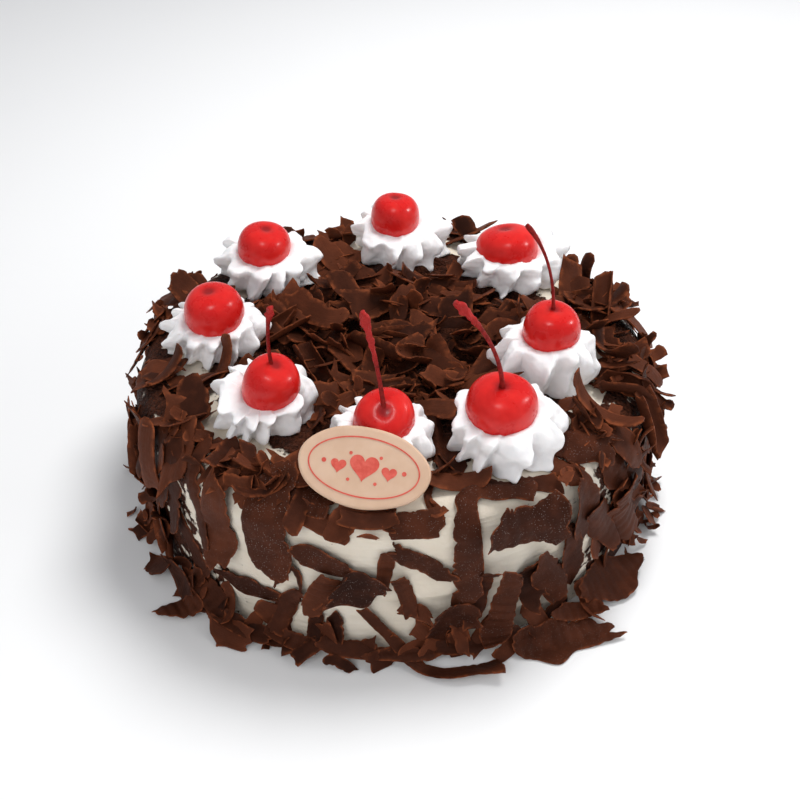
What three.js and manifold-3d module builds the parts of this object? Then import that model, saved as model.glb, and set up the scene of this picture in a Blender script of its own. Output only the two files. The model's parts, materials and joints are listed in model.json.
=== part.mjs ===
// Black forest cake: a round cream-coated cake covered in chocolate shavings, with eight piped
// cream rosettes, a cocktail cherry on each, and an oval white-chocolate plaque at the front.
// Millimetres, +Z up. The origin is the centre of the flat base, and -Y is the cake's front.
import * as THREE from "three";
import { mergeVertices } from "three/addons/utils/BufferGeometryUtils.js";
import Module from "manifold-3d";

const wasm = await Module();
wasm.setup();

// Driving dimensions.
const cakeRadius = 96.5;
const cakeHeight = 59.5;
const shoulderRadius = 11;
const footFillet = 13; // how softly shavings turn from the side out on to the table
const crumbFoot = 5; // height and reach of the fine crumbs banked round the foot
const touchGap = 0.3; // between pieces that rest on each other
const shavingThickness = 1;
const roundSteps = 44;

// One row for each rosette, going round from the back: where it stands, its size, and its cherry.
// Angles are in degrees from +X. squash is a cherry's height over its width, sit is how far its
// middle is above the cake's top, aside shifts it off the rosette's middle, and lean tips it
// towards +X and +Y in degrees. A stem's tip is a step from its root.
const toppings = [
  { angle: 87, reach: 68, width: 43, rise: 15, lobes: 8,
    cherry: 20, squash: 0.97, sit: 17, aside: [-2, 0], lean: [0, 6] },
  { angle: 46, reach: 71, width: 46, rise: 13, lobes: 9,
    cherry: 25.4, squash: 0.74, sit: 11.4, aside: [-3, 0], lean: [-8, 12] },
  { angle: -20.2, reach: 57.5, width: 38, rise: 18, lobes: 8,
    cherry: 20.8, squash: 0.95, sit: 20.2, aside: [1.6, 0.6], lean: [4, 0],
    stem: { tip: [-10.8, 4, 34], bow: [5.5, 0, 5], girth: 1.5 } },
  { angle: -58.5, reach: 69, width: 42, rise: 16.5, lobes: 8,
    cherry: 24.6, squash: 0.84, sit: 16.4, aside: [-0.8, 0.6], lean: [0, -2],
    stem: { tip: [-16, -2, 36], bow: [8, 0, 1], girth: 1.9 } },
  { angle: -95.2, reach: 62, width: 38, rise: 13.5, lobes: 9,
    cherry: 21, squash: 0.95, sit: 14, aside: [2.4, 1.2], lean: [0, -34],
    stem: { tip: [-6.2, 3, 38], bow: [1.5, 0, 0], girth: 1.9 } },
  { angle: -138, reach: 62, width: 38, rise: 15, lobes: 9,
    cherry: 20.4, squash: 1.04, sit: 14.2, aside: [3.8, 0.7], lean: [14, -6],
    stem: { tip: [1, 0, 26.5], bow: [-3, 0, 0], girth: 1.7 } },
  { angle: 177, reach: 67, width: 39, rise: 13.5, lobes: 10,
    cherry: 22.6, squash: 0.92, sit: 14.8, aside: [0.6, 0], lean: [-6, 0] },
  { angle: 135, reach: 70, width: 43, rise: 14, lobes: 8,
    cherry: 21.6, squash: 0.84, sit: 15.2, aside: [-1.2, 0], lean: [8, 0] },
];

// The plaque leans back, its lower edge on the cake's shoulder and its back near the front cherry.
const plaque = { width: 41.5, height: 25.5, thickness: 3, edge: 0.8, centre: [-9.8, -80.3, 70.4],
  leanDeg: 44, turnDeg: -11.5 };

// The large shavings of the cake's front, each laid by hand. Angle and run place its middle: run
// is the distance from the top's centre, out over the shoulder and down the side. Heading 0 points
// down the side, 90 to the right. curl is the arc in degrees that its length bends through off the
// cake, and bend the arc that it bends through flat on it, over the stretch between bendFrom and
// bendTo. taper narrows both ends, flare widens the far one, and point draws that one out.
const frontShavings = [
  { angle: -116.5, run: 98, heading: 3, length: 39, width: 15.5, curl: 8, lift: 1.6, taper: 0.05,
    flare: -0.02 },
  { angle: -128, run: 107.5, heading: -3, length: 32, width: 13.5, curl: 12, roll: -6, taper: 0.3 },
  { angle: -143, run: 103, heading: 4, length: 44, width: 9.5, curl: 10, taper: 0.35 },
  { angle: -135, run: 102, heading: 16, length: 38, width: 8, curl: 6, roll: 8, taper: 0.3 },
  { angle: -130, run: 85, heading: 0, length: 18, width: 11, curl: 16, taper: 0.5 },
  { angle: -123, run: 90, heading: 22, length: 17, width: 7, curl: 10, across: 60 },
  { angle: -123, run: 133, heading: 90, length: 28, width: 8, curl: 12, taper: 0.6 },
  { angle: -115, run: 133, heading: -54, length: 28, width: 7.5, curl: 26, bend: 62, taper: 0.3 },
  { angle: -104, run: 109.5, heading: 63, length: 22, width: 10, curl: 22, roll: 8, taper: 0.4 },
  { angle: -97.5, run: 118.5, heading: 97, length: 17, width: 17, curl: 14, lift: 1.4, taper: 0.45 },
  { angle: -105, run: 124, heading: -20, length: 20, width: 9.5, curl: 34, roll: -12 },
  { angle: -107, run: 141, heading: -3, length: 12.5, width: 6 },
  { angle: -102.7, run: 141, heading: 2, length: 15, width: 6.8, taper: 0.3 },
  { angle: -108, run: 87, heading: 77, length: 19, width: 12, curl: 10 },
  { angle: -106, run: 93.5, heading: 81, length: 24, width: 8, curl: 10, across: 40, roll: 14 },
  { angle: -95, run: 91.5, heading: 87, length: 20, width: 8, curl: 12, roll: -8 },
  { angle: -87, run: 95, heading: 80, length: 18, width: 10, curl: 16, roll: 8 },
  { angle: -122.6, run: 155.5, heading: 100, length: 16, width: 12, curl: 20, roll: 12, taper: 0.1 },
  { angle: -121, run: 151, heading: 88, length: 22, width: 9, curl: 14, roll: -20 },
  { angle: -76.4, run: 94, heading: 180, length: 69, width: 8.6, curl: 4, bend: -108,
    bendFrom: 0.04, bendTo: 0.42, lift: 1.2, taper: 0.02, flare: -0.15 },
  { angle: -64.5, run: 101, heading: 80, length: 27, width: 15, curl: 14, lift: 2, roll: 6,
    taper: 0.1, flare: 0.16 },
  { angle: -58, run: 129.5, heading: 28, length: 27, width: 12, curl: 10, lift: 1.4, taper: 0.2 },
  { angle: -51.8, run: 126.5, heading: 12, length: 28, width: 11, curl: 6, taper: 0.4 },
  { angle: -48.5, run: 109, heading: 12, length: 31, width: 14, curl: 8, taper: 0.4 },
  { angle: -69, run: 134, heading: -8, length: 38, width: 10, curl: 30, lift: 2.4, roll: 10,
    flare: 0.1 },
  { angle: -73.5, run: 127, heading: -12, length: 28, width: 8, curl: 20, taper: 0.3 },
  { angle: -84.8, run: 108, heading: 58, length: 26, width: 8, curl: 22, bend: -16, lift: 0.6 },
  { angle: -92, run: 112, heading: -4, length: 21, width: 5.5, curl: 10 },
  { angle: -79, run: 136, heading: 84, length: 18, width: 18, curl: 26, roll: 10, taper: 0.35 },
  { angle: -58.5, run: 158.5, heading: 66, length: 38, width: 17, curl: 16, roll: 10, taper: 0.35 },
  { angle: -52.5, run: 152, heading: 62, length: 24, width: 10, curl: 20, roll: -24 },
  { angle: -43.5, run: 86.5, heading: 52, length: 23, width: 14, curl: 12, roll: 8 },
  { angle: -40, run: 99, heading: 14, length: 26, width: 12, curl: 10, taper: 0.4 },
  { angle: -42, run: 149.5, heading: -109, length: 33, width: 16, curl: 14, roll: 6, taper: 0.3 },
  { angle: -62.3, run: 129, heading: 8, length: 20, width: 11 },
  { angle: -87.6, run: 152.3, heading: 36, length: 60, width: 4.8, curl: 8, bend: 46,
    bendFrom: -0.15, bendTo: 0.5, taper: 0.05, flare: 0.1, point: -1.05 },
  { angle: -78.3, run: 149, heading: 78, length: 20, width: 7, roll: -10 },
  { angle: -100, run: 148, heading: 86, length: 22, width: 7, curl: 16, roll: -16 },
  { angle: -111, run: 149, heading: 78, length: 20, width: 7, curl: 24, roll: -20 },
  { angle: -90, run: 149, heading: 92, length: 24, width: 6, curl: 10, roll: -14 },
  { angle: -132, run: 146, heading: 70, length: 26, width: 10, curl: 18, roll: -16 },
  { angle: -139, run: 132, heading: 30, length: 32, width: 9, curl: 16, taper: 0.4 },
  { angle: -19, run: 86, heading: 14, length: 24, width: 22, curl: 10, across: 300, lift: 0.2 },
  { angle: -141, run: 34, heading: 78, length: 37, width: 17, curl: 6, across: 250, pitch: -9 },
  { angle: -73.2, run: 61, heading: 5, length: 29, width: 9.5, curl: 20, lift: 3, roll: 20 },
  { angle: -58.5, run: 89.5, heading: 63, length: 15, width: 6.5 },
  { angle: -123.5, run: 51, heading: 57, length: 18, width: 7, curl: 40, lift: 2.5, roll: 20 },
  { angle: -43.3, run: 120, heading: 26, length: 29, width: 12, curl: 10, taper: 0.3 },
  { angle: -34, run: 122, heading: 20, length: 30, width: 14, curl: 14, lift: 1.5 },
  { angle: -149, run: 104, heading: 8, length: 32, width: 12, curl: 10, taper: 0.3 },
  { angle: -135.4, run: 157.5, heading: -25, length: 21, width: 11, curl: 10, roll: 10, taper: 0.1,
    point: 0.9 },
];

// Seeded bands of shavings, the largest only. from and to are degrees round the cake, run is
// measured as above, and spread pairs are the least and the most of each size.
const shavingBands = [
  { seed: 11, count: 67, from: 0, to: 360, run: [0, 84], disc: true, heading: [0, 360],
    length: [17, 30], width: [8, 14], curl: [0, 54], roll: 24, pitch: 16, lift: [-0.2, 3] },
  { seed: 23, count: 23, from: -34, to: 212, run: [84, 103], heading: [-70, 80],
    length: [20, 34], width: [10, 15], curl: [0, 24], roll: 16, pitch: 9, lift: [-0.2, 0.8] },
  { seed: 37, count: 19, from: -42, to: 214, run: [108, 136], heading: [-60, 70],
    length: [20, 32], width: [8, 13], curl: [4, 26], roll: 12, pitch: 6, lift: [-0.2, 0.5] },
  { seed: 41, count: 24, from: -44, to: 232, run: [143, 153], heading: [50, 130],
    length: [16, 28], width: [9, 14], curl: [4, 34], roll: 30, pitch: 14, lift: [-0.4, 0] },
];

const rad = THREE.MathUtils.degToRad;
const shoulderStart = cakeRadius - shoulderRadius;
const sideStart = shoulderStart + (shoulderRadius * Math.PI) / 2;
const sideLength = cakeHeight - shoulderRadius - footFillet;
const footStart = sideStart + sideLength;
const tableStart = footStart + (footFillet * Math.PI) / 2;

// A repeatable stream of numbers from 0 to 1.
function dice(seed) {
  let state = seed >>> 0;
  return () => {
    state = (Math.imul(state, 1664525) + 1013904223) >>> 0;
    return state / 4294967296;
  };
}

function solidOf(geometry) {
  const bare = geometry.clone();
  bare.deleteAttribute("normal");
  bare.deleteAttribute("uv");
  const merged = mergeVertices(bare, 1e-4);
  return new wasm.Manifold(
    new wasm.Mesh({
      numProp: 3,
      vertProperties: new Float32Array(merged.attributes.position.array),
      triVerts: new Uint32Array(merged.index.array),
    }),
  );
}

function geometryOf(solid) {
  const mesh = solid.getMesh();
  const points = [];
  for (let i = 0; i < mesh.numVert; i++) {
    points.push(...mesh.vertProperties.subarray(i * mesh.numProp, i * mesh.numProp + 3));
  }
  const geometry = new THREE.BufferGeometry();
  geometry.setAttribute("position", new THREE.Float32BufferAttribute(points, 3));
  geometry.setIndex([...mesh.triVerts]);
  geometry.computeVertexNormals();
  return geometry;
}

// The one body that matters: loose scraps are dropped, and sealed hollows are filled with them.
function mainBody(solid) {
  return solid.decompose().reduce((best, body) => (body.volume() > best.volume() ? body : best));
}

// A closed solid from a grid of points: columns run round, rows run from the bottom pole up.
function roundSolid(columns, rows, pointAt, bottom, top) {
  const points = [bottom, top];
  for (let row = 0; row < rows; row++) {
    for (let column = 0; column < columns; column++) points.push(pointAt(column, row));
  }
  const at = (column, row) => 2 + row * columns + (column % columns);
  const faces = [];
  for (let column = 0; column < columns; column++) {
    faces.push(0, at(column + 1, 0), at(column, 0));
    for (let row = 0; row + 1 < rows; row++) {
      faces.push(at(column, row), at(column + 1, row), at(column + 1, row + 1));
      faces.push(at(column, row), at(column + 1, row + 1), at(column, row + 1));
    }
    faces.push(1, at(column, rows - 1), at(column + 1, rows - 1));
  }
  const geometry = new THREE.BufferGeometry().setFromPoints(points);
  geometry.setIndex(faces);
  return geometry;
}

// The cake's outline as a point and its normal, a run away from the top's centre.
function surfaceAt(run) {
  const over = THREE.MathUtils.clamp((run - shoulderStart) / shoulderRadius, 0, Math.PI / 2);
  const out = THREE.MathUtils.clamp((run - footStart) / footFillet, 0, Math.PI / 2);
  const down = THREE.MathUtils.clamp(run - sideStart, 0, sideLength);
  const radius =
    Math.min(run, shoulderStart) +
    shoulderRadius * Math.sin(over) +
    footFillet * (1 - Math.cos(out)) +
    Math.max(0, run - tableStart);
  const height =
    cakeHeight - shoulderRadius * (1 - Math.cos(over)) - down - footFillet * Math.sin(out);
  return { radius, height, tilt: over - out };
}

const halfWidth = (spec, along) =>
  (spec.width / 2) *
  (1 - (spec.taper ?? 0.15) * along * along) *
  (1 + (spec.flare ?? 0) * along) *
  (1 - (spec.point ?? 0) * Math.max(0, along) ** 1.6);

// A point of a shaving, along and across from -1 to 1, in its own frame: x along, y across, z off
// the cake. Positive curl lifts its ends, and across rolls its width up into a quill.
function sheetPoint(spec, along, across) {
  const arc = rad(spec.curl ?? 0) || 1e-4;
  const curlRadius = spec.length / arc;
  let x = (along * spec.length) / 2;
  let y = across * halfWidth(spec, along);
  if (spec.bend) {
    const start = ((spec.bendFrom ?? -1) * spec.length) / 2;
    const stop = ((spec.bendTo ?? 1) * spec.length) / 2;
    const bendRadius = (stop - start) / rad(spec.bend);
    const turn = THREE.MathUtils.clamp(x - start, 0, stop - start) / bendRadius;
    const beyond = Math.max(0, x - stop);
    const off = bendRadius - y;
    x = Math.min(x, start) + off * Math.sin(turn) + beyond * Math.cos(turn);
    y = bendRadius - off * Math.cos(turn) + beyond * Math.sin(turn);
  }
  const point = new THREE.Vector3(
    curlRadius * Math.sin(x / curlRadius), y, curlRadius * (1 - Math.cos(x / curlRadius)));
  if (spec.across) {
    const roll = rad(spec.across);
    const rollRadius = spec.width / roll;
    point.z += rollRadius * (1 - Math.cos(y / rollRadius));
    point.y = rollRadius * Math.sin(y / rollRadius);
  }
  point.applyAxisAngle(new THREE.Vector3(1, 0, 0), rad(spec.roll ?? 0));
  point.applyAxisAngle(new THREE.Vector3(0, 1, 0), -rad(spec.pitch ?? 0));
  return point;
}

// How far a shaving is raised so that its lowest point is at its lift, a little into the cream.
function settle(spec) {
  let low = Infinity;
  for (const along of [-1, -0.5, 0, 0.5, 1]) {
    for (const across of [-1, 0, 1]) low = Math.min(low, sheetPoint(spec, along, across).z);
  }
  return (spec.lift ?? 0) - 0.7 - low;
}

// Lays a point of a shaving on the cake. rise is its distance off the cake's surface.
function layOnCake(spec, point, rise) {
  const heading = rad(spec.heading);
  const run = spec.run + point.x * Math.cos(heading) - point.y * Math.sin(heading);
  const aside = point.x * Math.sin(heading) + point.y * Math.cos(heading);
  const { radius, height, tilt } = surfaceAt(run);
  const reach = radius + rise * Math.sin(tilt);
  const level = height + rise * Math.cos(tilt);
  const angle = rad(spec.angle);
  if (spec.run + spec.length / 2 < shoulderStart) {
    return new THREE.Vector3(
      reach * Math.cos(angle) - aside * Math.sin(angle),
      reach * Math.sin(angle) + aside * Math.cos(angle),
      level,
    );
  }
  const turned = angle + aside / surfaceAt(spec.run).radius;
  return new THREE.Vector3(reach * Math.cos(turned), reach * Math.sin(turned), level);
}

function shavingSlab(spec) {
  const bend = Math.abs(spec.curl ?? 0) + (spec.run > 70 ? spec.length : 0) + Math.abs(spec.bend ?? 0);
  const stepsAlong = bend > 120 ? 9 : bend > 58 ? 4 : 2;
  const stepsAcross = spec.across > 90 ? 6 : spec.across ? 2 : 1;
  const raise = settle(spec);
  const points = [];
  for (const face of [0, shavingThickness]) {
    for (let i = 0; i <= stepsAlong; i++) {
      for (let j = 0; j <= stepsAcross; j++) {
        const flat = sheetPoint(spec, (2 * i) / stepsAlong - 1, (2 * j) / stepsAcross - 1);
        if (spec.across) flat.multiplyScalar(1 - face / 12);
        const laid = layOnCake(spec, flat, flat.z + raise + face);
        laid.z = Math.max(laid.z, face * 0.8);
        points.push(laid);
      }
    }
  }
  const perFace = (stepsAlong + 1) * (stepsAcross + 1);
  const at = (face, i, j) => face * perFace + i * (stepsAcross + 1) + j;
  const faces = [];
  const quad = (a, b, c, d) => faces.push(a, b, c, a, c, d);
  for (let i = 0; i < stepsAlong; i++) {
    for (let j = 0; j < stepsAcross; j++) {
      quad(at(1, i, j), at(1, i + 1, j), at(1, i + 1, j + 1), at(1, i, j + 1));
      quad(at(0, i, j), at(0, i, j + 1), at(0, i + 1, j + 1), at(0, i + 1, j));
    }
    quad(at(0, i, 0), at(0, i + 1, 0), at(1, i + 1, 0), at(1, i, 0));
    quad(at(0, i + 1, stepsAcross), at(0, i, stepsAcross), at(1, i, stepsAcross),
      at(1, i + 1, stepsAcross));
  }
  for (let j = 0; j < stepsAcross; j++) {
    quad(at(0, 0, j + 1), at(0, 0, j), at(1, 0, j), at(1, 0, j + 1));
    quad(at(0, stepsAlong, j), at(0, stepsAlong, j + 1), at(1, stepsAlong, j + 1),
      at(1, stepsAlong, j));
  }
  const geometry = new THREE.BufferGeometry().setFromPoints(points);
  geometry.setIndex(faces);
  return geometry;
}

// The shavings of a band, spread evenly with a seeded jitter.
function bandShavings(band) {
  const roll = dice(band.seed);
  const between = ([least, most]) => least + (most - least) * roll();
  const either = (most) => most * (2 * roll() - 1);
  const laid = [];
  for (let i = 0; i < band.count; i++) {
    const share = (i + 0.5) / band.count;
    const golden = (i * 137.508) % 360;
    const step = (band.to - band.from) / band.count;
    laid.push({
      angle: band.disc ? golden + either(12) : band.from + share * (band.to - band.from) + either(step),
      run: band.disc ? band.run[1] * Math.sqrt(share) : between(band.run),
      heading: between(band.heading),
      length: between(band.length),
      width: between(band.width),
      curl: between(band.curl),
      roll: either(band.roll),
      pitch: either(band.pitch),
      lift: between(band.lift),
      taper: 0.1 + 0.4 * roll(),
    });
  }
  return laid;
}

const leanOf = (topping) => new THREE.Euler(rad(-topping.lean[1]), rad(topping.lean[0]), 0);

const standsAt = (topping) =>
  new THREE.Vector3(
    topping.reach * Math.cos(rad(topping.angle)),
    topping.reach * Math.sin(rad(topping.angle)),
    cakeHeight,
  );

const fruitAt = (topping) =>
  standsAt(topping).add(new THREE.Vector3(...topping.aside, topping.sit));

// A piped rosette: rounded ridges that twist as they rise. extra grows it all round but its foot.
function rosetteSolid(topping, extra = 0) {
  const samples = 4;
  const columns = topping.lobes * samples;
  const outline = [[0.88, 0], [1, 0.2], [0.96, 0.62], [0.76, 1]];
  const ridge = 0.11;
  const twist = rad(18);
  const pointAt = (column, row) => {
    const [width, height] = outline[row];
    const angle = (2 * Math.PI * column) / columns + twist * height;
    const lobe = Math.cos((2 * Math.PI * column) / samples);
    const radius = (topping.width / 2) * width * (1 - ridge + ridge * lobe) + extra;
    const crest = height === 1 ? 1 + 0.1 * lobe : height;
    return new THREE.Vector3(
      radius * Math.cos(angle), radius * Math.sin(angle), (topping.rise + extra) * crest);
  };
  const top = new THREE.Vector3(0, 0, topping.rise + extra);
  const { x, y, z } = standsAt(topping);
  return solidOf(
    roundSolid(columns, outline.length, pointAt, new THREE.Vector3(), top)
      .translate(x, y, z + touchGap),
  );
}

// A cherry: a rounded fruit with a dimple for its stem. extra grows it all round.
function fruitSolid(topping, extra = 0) {
  const radius = topping.cherry / 2 + extra;
  const half = (topping.cherry * topping.squash) / 2 + extra;
  const rows = 6;
  const columns = 12;
  const pointAt = (column, row) => {
    const polar = Math.PI * ((row + 1) / (rows + 0.6));
    const width = radius * Math.pow(Math.sin(polar), 0.86);
    const angle = (2 * Math.PI * column) / columns;
    return new THREE.Vector3(
      width * Math.cos(angle), width * Math.sin(angle), -half * Math.cos(polar));
  };
  const bottom = new THREE.Vector3(0, 0, -half);
  const dimple = new THREE.Vector3(0, 0, half * 0.72);
  const { x, y, z } = fruitAt(topping);
  return solidOf(
    roundSolid(columns, rows, pointAt, bottom, dimple)
      .applyMatrix4(new THREE.Matrix4().makeRotationFromEuler(leanOf(topping)))
      .translate(x, y, z),
  );
}

// A stem's tube: flared where it leaves the fruit, and knobbed at its free end.
function stemSolid(topping) {
  const { tip, bow, girth } = topping.stem;
  const root = new THREE.Vector3(0, 0, topping.cherry * 0.3).applyEuler(leanOf(topping));
  const end = new THREE.Vector3(...tip).add(root);
  const middle = root.clone().lerp(end, 0.5).add(new THREE.Vector3(...bow));
  const route = new THREE.QuadraticBezierCurve3(root, middle, end);
  const sides = 6;
  const stops = [[0, 1.7], [0.1, 1.1], [0.4, 0.8], [0.7, 0.95], [0.88, 1.4], [0.97, 1.4]];
  const frames = route.computeFrenetFrames(stops.length - 1);
  const pointAt = (column, row) => {
    const [along, wide] = stops[row];
    const angle = (2 * Math.PI * column) / sides;
    const radius = (girth / 2) * wide;
    return route.getPoint(along)
      .addScaledVector(frames.normals[row], radius * Math.cos(angle))
      .addScaledVector(frames.binormals[row], radius * Math.sin(angle));
  };
  const { x, y, z } = fruitAt(topping);
  return solidOf(roundSolid(sides, stops.length, pointAt, root, end).translate(x, y, z));
}

// The plaque, its edges broken all round. extra grows it all round.
function plaqueSolid(extra = 0) {
  const columns = 28;
  const half = plaque.thickness / 2 + extra;
  const rim = [[plaque.edge, -half], [0, -half + plaque.edge], [0, half - plaque.edge],
    [plaque.edge, half]];
  const pointAt = (column, row) => {
    const angle = (2 * Math.PI * column) / columns;
    const [inset, level] = rim[row];
    return new THREE.Vector3(
      (plaque.width / 2 + extra - inset) * Math.cos(angle),
      (plaque.height / 2 + extra - inset) * Math.sin(angle), level);
  };
  const turn = new THREE.Matrix4()
    .makeRotationX(rad(plaque.leanDeg))
    .multiply(new THREE.Matrix4().makeRotationZ(rad(plaque.turnDeg)));
  return solidOf(
    roundSolid(columns, rim.length, pointAt, new THREE.Vector3(0, 0, -half),
      new THREE.Vector3(0, 0, half))
      .applyMatrix4(turn)
      .translate(...plaque.centre),
  );
}

function bodySolid() {
  const rim = [[0, cakeRadius + crumbFoot], [crumbFoot, cakeRadius]];
  const arcSteps = 3;
  for (let i = 0; i <= arcSteps; i++) {
    const turn = (Math.PI / 2) * (i / arcSteps);
    rim.push([cakeHeight - shoulderRadius * (1 - Math.sin(turn)),
      shoulderStart + shoulderRadius * Math.cos(turn)]);
  }
  const pointAt = (column, row) => {
    const angle = (2 * Math.PI * column) / roundSteps;
    const [height, radius] = rim[row];
    return new THREE.Vector3(radius * Math.cos(angle), radius * Math.sin(angle), height);
  };
  return solidOf(roundSolid(roundSteps, rim.length, pointAt, new THREE.Vector3(),
    new THREE.Vector3(0, 0, cakeHeight)));
}

const coatMaterial = new THREE.MeshStandardMaterial({ color: 0x4a2d22, roughness: 0.55 });
const creamMaterial = new THREE.MeshStandardMaterial({ color: 0xf3efee, roughness: 0.6 });
const cherryMaterial = new THREE.MeshStandardMaterial({ color: 0xc4161c, roughness: 0.2 });
const plaqueMaterial = new THREE.MeshStandardMaterial({ color: 0xecc9a4, roughness: 0.45 });

const cake = new THREE.Group();

function addPiece(name, solid, material) {
  const mesh = new THREE.Mesh(geometryOf(mainBody(solid)), material);
  mesh.name = name;
  cake.add(mesh);
}

// Room left for the rosettes, cherries and plaque. The front's shavings are cut short there, and
// those of the bands that would run into it are left off.
const keptClear = wasm.Manifold.union([
  plaqueSolid(touchGap),
  ...toppings.map((topping) => rosetteSolid(topping, touchGap)),
  ...toppings.map((topping) => fruitSolid(topping, touchGap)),
]);
const slabs = (specs) => specs.map((spec) => solidOf(shavingSlab(spec)));
const banded = slabs(shavingBands.flatMap(bandShavings))
  .filter((slab) => slab.intersect(keptClear).isEmpty());
const coat = wasm.Manifold.union(slabs(frontShavings)).subtract(keptClear);
addPiece("cake", wasm.Manifold.union([bodySolid(), coat, ...banded]), coatMaterial);

// The cream is dented by the cherry on it, and at the front by the plaque that leans on it.
toppings.forEach((topping, i) => {
  const dents = fruitSolid(topping, touchGap).add(plaqueSolid(touchGap));
  addPiece("rosette_" + (i + 1), rosetteSolid(topping).subtract(dents), creamMaterial);
  const fruit = fruitSolid(topping);
  const cherry = topping.stem ? fruit.add(stemSolid(topping)) : fruit;
  addPiece("cherry_" + (i + 1), cherry, cherryMaterial);
});
addPiece("plaque", plaqueSolid(), plaqueMaterial);

export default cake;
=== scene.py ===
import json
import math

import bpy
import numpy as np
from mathutils import Euler, Matrix, Vector
from mathutils.bvhtree import BVHTree

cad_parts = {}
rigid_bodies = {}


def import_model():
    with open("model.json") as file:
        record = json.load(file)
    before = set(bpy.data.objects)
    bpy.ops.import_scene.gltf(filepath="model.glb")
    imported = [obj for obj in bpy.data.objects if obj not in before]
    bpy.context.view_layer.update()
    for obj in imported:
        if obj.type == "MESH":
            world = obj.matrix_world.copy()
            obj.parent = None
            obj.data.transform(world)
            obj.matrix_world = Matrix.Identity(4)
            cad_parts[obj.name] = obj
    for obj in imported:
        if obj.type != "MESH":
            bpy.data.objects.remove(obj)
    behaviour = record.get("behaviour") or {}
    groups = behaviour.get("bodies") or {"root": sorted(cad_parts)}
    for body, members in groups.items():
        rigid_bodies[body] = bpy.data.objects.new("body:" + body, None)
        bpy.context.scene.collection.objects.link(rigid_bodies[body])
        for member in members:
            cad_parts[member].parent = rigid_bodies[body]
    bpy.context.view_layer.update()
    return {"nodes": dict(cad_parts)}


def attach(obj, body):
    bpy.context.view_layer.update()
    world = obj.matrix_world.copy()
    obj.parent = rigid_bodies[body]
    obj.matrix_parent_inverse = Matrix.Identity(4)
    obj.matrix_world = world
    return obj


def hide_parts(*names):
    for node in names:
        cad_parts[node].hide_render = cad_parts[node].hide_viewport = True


# A black forest cake: cream coat, chocolate shavings, piped rosettes, cherries and a plaque.
# Sizes in the dictionaries are millimetres and degrees; the meshes are in metres.
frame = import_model()
mm = 0.001
fullTurn = 2 * math.pi
anyPhase = 6.28  # the range of a random phase

cameraView = {"place": (0, -377.1, 327.7), "aim": (0, 0, 19.5), "lens": 55.33, "roll": -0.97,
              "shiftX": 0.0062, "shiftY": 0.0382}
# a lamp with sheen makes gloss and no light, and the others light and no gloss
studioLights = [
    {"name": "keyPanel", "place": (230, 300, 760), "aim": (0, 0, 40), "size": 430, "watts": 6.2},
    {"name": "softSheen", "place": (-40, -330, 860), "aim": (0, 0, 60), "size": 230, "watts": 1.1,
     "sheen": True},
    {"name": "windowGlint", "place": (640, 70, 400), "aim": (0, 0, 70), "size": 110, "watts": 0.9,
     "sheen": True},
    {"name": "frontFill", "place": (-330, -620, 420), "aim": (0, 0, 30), "size": 620, "watts": 2.3},
    {"name": "sideFill", "place": (620, -260, 360), "aim": (0, 0, 30), "size": 480, "watts": 1.4},
]
backdrop = {"floorColour": (0.9, 0.9, 0.9), "skyColour": (0.93, 0.95, 1.0), "skyStrength": 0.31,
            "floorHalf": 6000}


def addObject(name, data):
    added = bpy.data.objects.new(name, data)
    bpy.context.scene.collection.objects.link(added)
    return added


def aimed(place, aim, roll=0.0):
    place, aim = Vector(place) * mm, Vector(aim) * mm
    forward = (aim - place).normalized()
    right = forward.cross(Vector((0, 0, 1))).normalized()
    up = right.cross(forward)
    turn = math.radians(roll)
    right, up = right * math.cos(turn) + up * math.sin(turn), up * math.cos(turn) - right * math.sin(turn)
    matrix = Matrix((right, up, -forward)).transposed().to_4x4()
    matrix.translation = place
    return matrix


def setCamera():
    data = bpy.data.cameras.new("frontView")
    data.lens = cameraView["lens"]
    data.sensor_width = 36
    data.shift_x = cameraView["shiftX"]
    data.shift_y = cameraView["shiftY"]
    data.clip_start = 0.02
    camera = addObject("frontView", data)
    camera.matrix_world = aimed(cameraView["place"], cameraView["aim"], cameraView["roll"])
    bpy.context.scene.camera = camera


def setLights():
    for light in studioLights:
        data = bpy.data.lights.new(light["name"], "AREA")
        data.shape = "DISK"
        data.size = light["size"] * mm
        data.energy = light["watts"]
        lamp = addObject(light["name"], data)
        lamp.matrix_world = aimed(light["place"], light["aim"])
        lamp.visible_glossy = light.get("sheen", False)
        lamp.visible_diffuse = not light.get("sheen", False)
    world = bpy.data.worlds.new("paleRoom")
    world.use_nodes = True
    sky = world.node_tree.nodes["Background"]
    sky.inputs["Color"].default_value = (*backdrop["skyColour"], 1)
    sky.inputs["Strength"].default_value = backdrop["skyStrength"]
    bpy.context.scene.world = world
    bpy.context.scene.view_settings.view_transform = "Standard"


# Short ways to build node trees. A node is added beside the sockets that feed it.
def plug(node, sockets):
    for name, value in sockets.items():
        if isinstance(value, bpy.types.NodeSocket):
            node.id_data.links.new(value, node.inputs[name])
        else:
            node.inputs[name].default_value = value
    return node


def put(tree, kind, sockets=None, **settings):
    node = tree.nodes.new(kind)
    for name, value in settings.items():
        setattr(node, name, value)
    return plug(node, sockets or {})


def add(kind, sockets, **settings):
    tree = next(v.id_data for v in sockets.values() if isinstance(v, bpy.types.NodeSocket))
    return put(tree, kind, sockets, **settings).outputs


def sums(operation, *values):
    return add("ShaderNodeMath", dict(enumerate(values)), operation=operation)[0]


def plus(first, second):
    return sums("ADD", first, second)


def minus(first, second):
    return sums("SUBTRACT", first, second)


def times(first, second):
    return sums("MULTIPLY", first, second)


def timesPlus(first, second, third):
    return sums("MULTIPLY_ADD", first, second, third)


def vectors(operation, first, *second):
    return add("ShaderNodeVectorMath", {0: first, **dict(enumerate(second, 1))}, operation=operation)[0]


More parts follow.
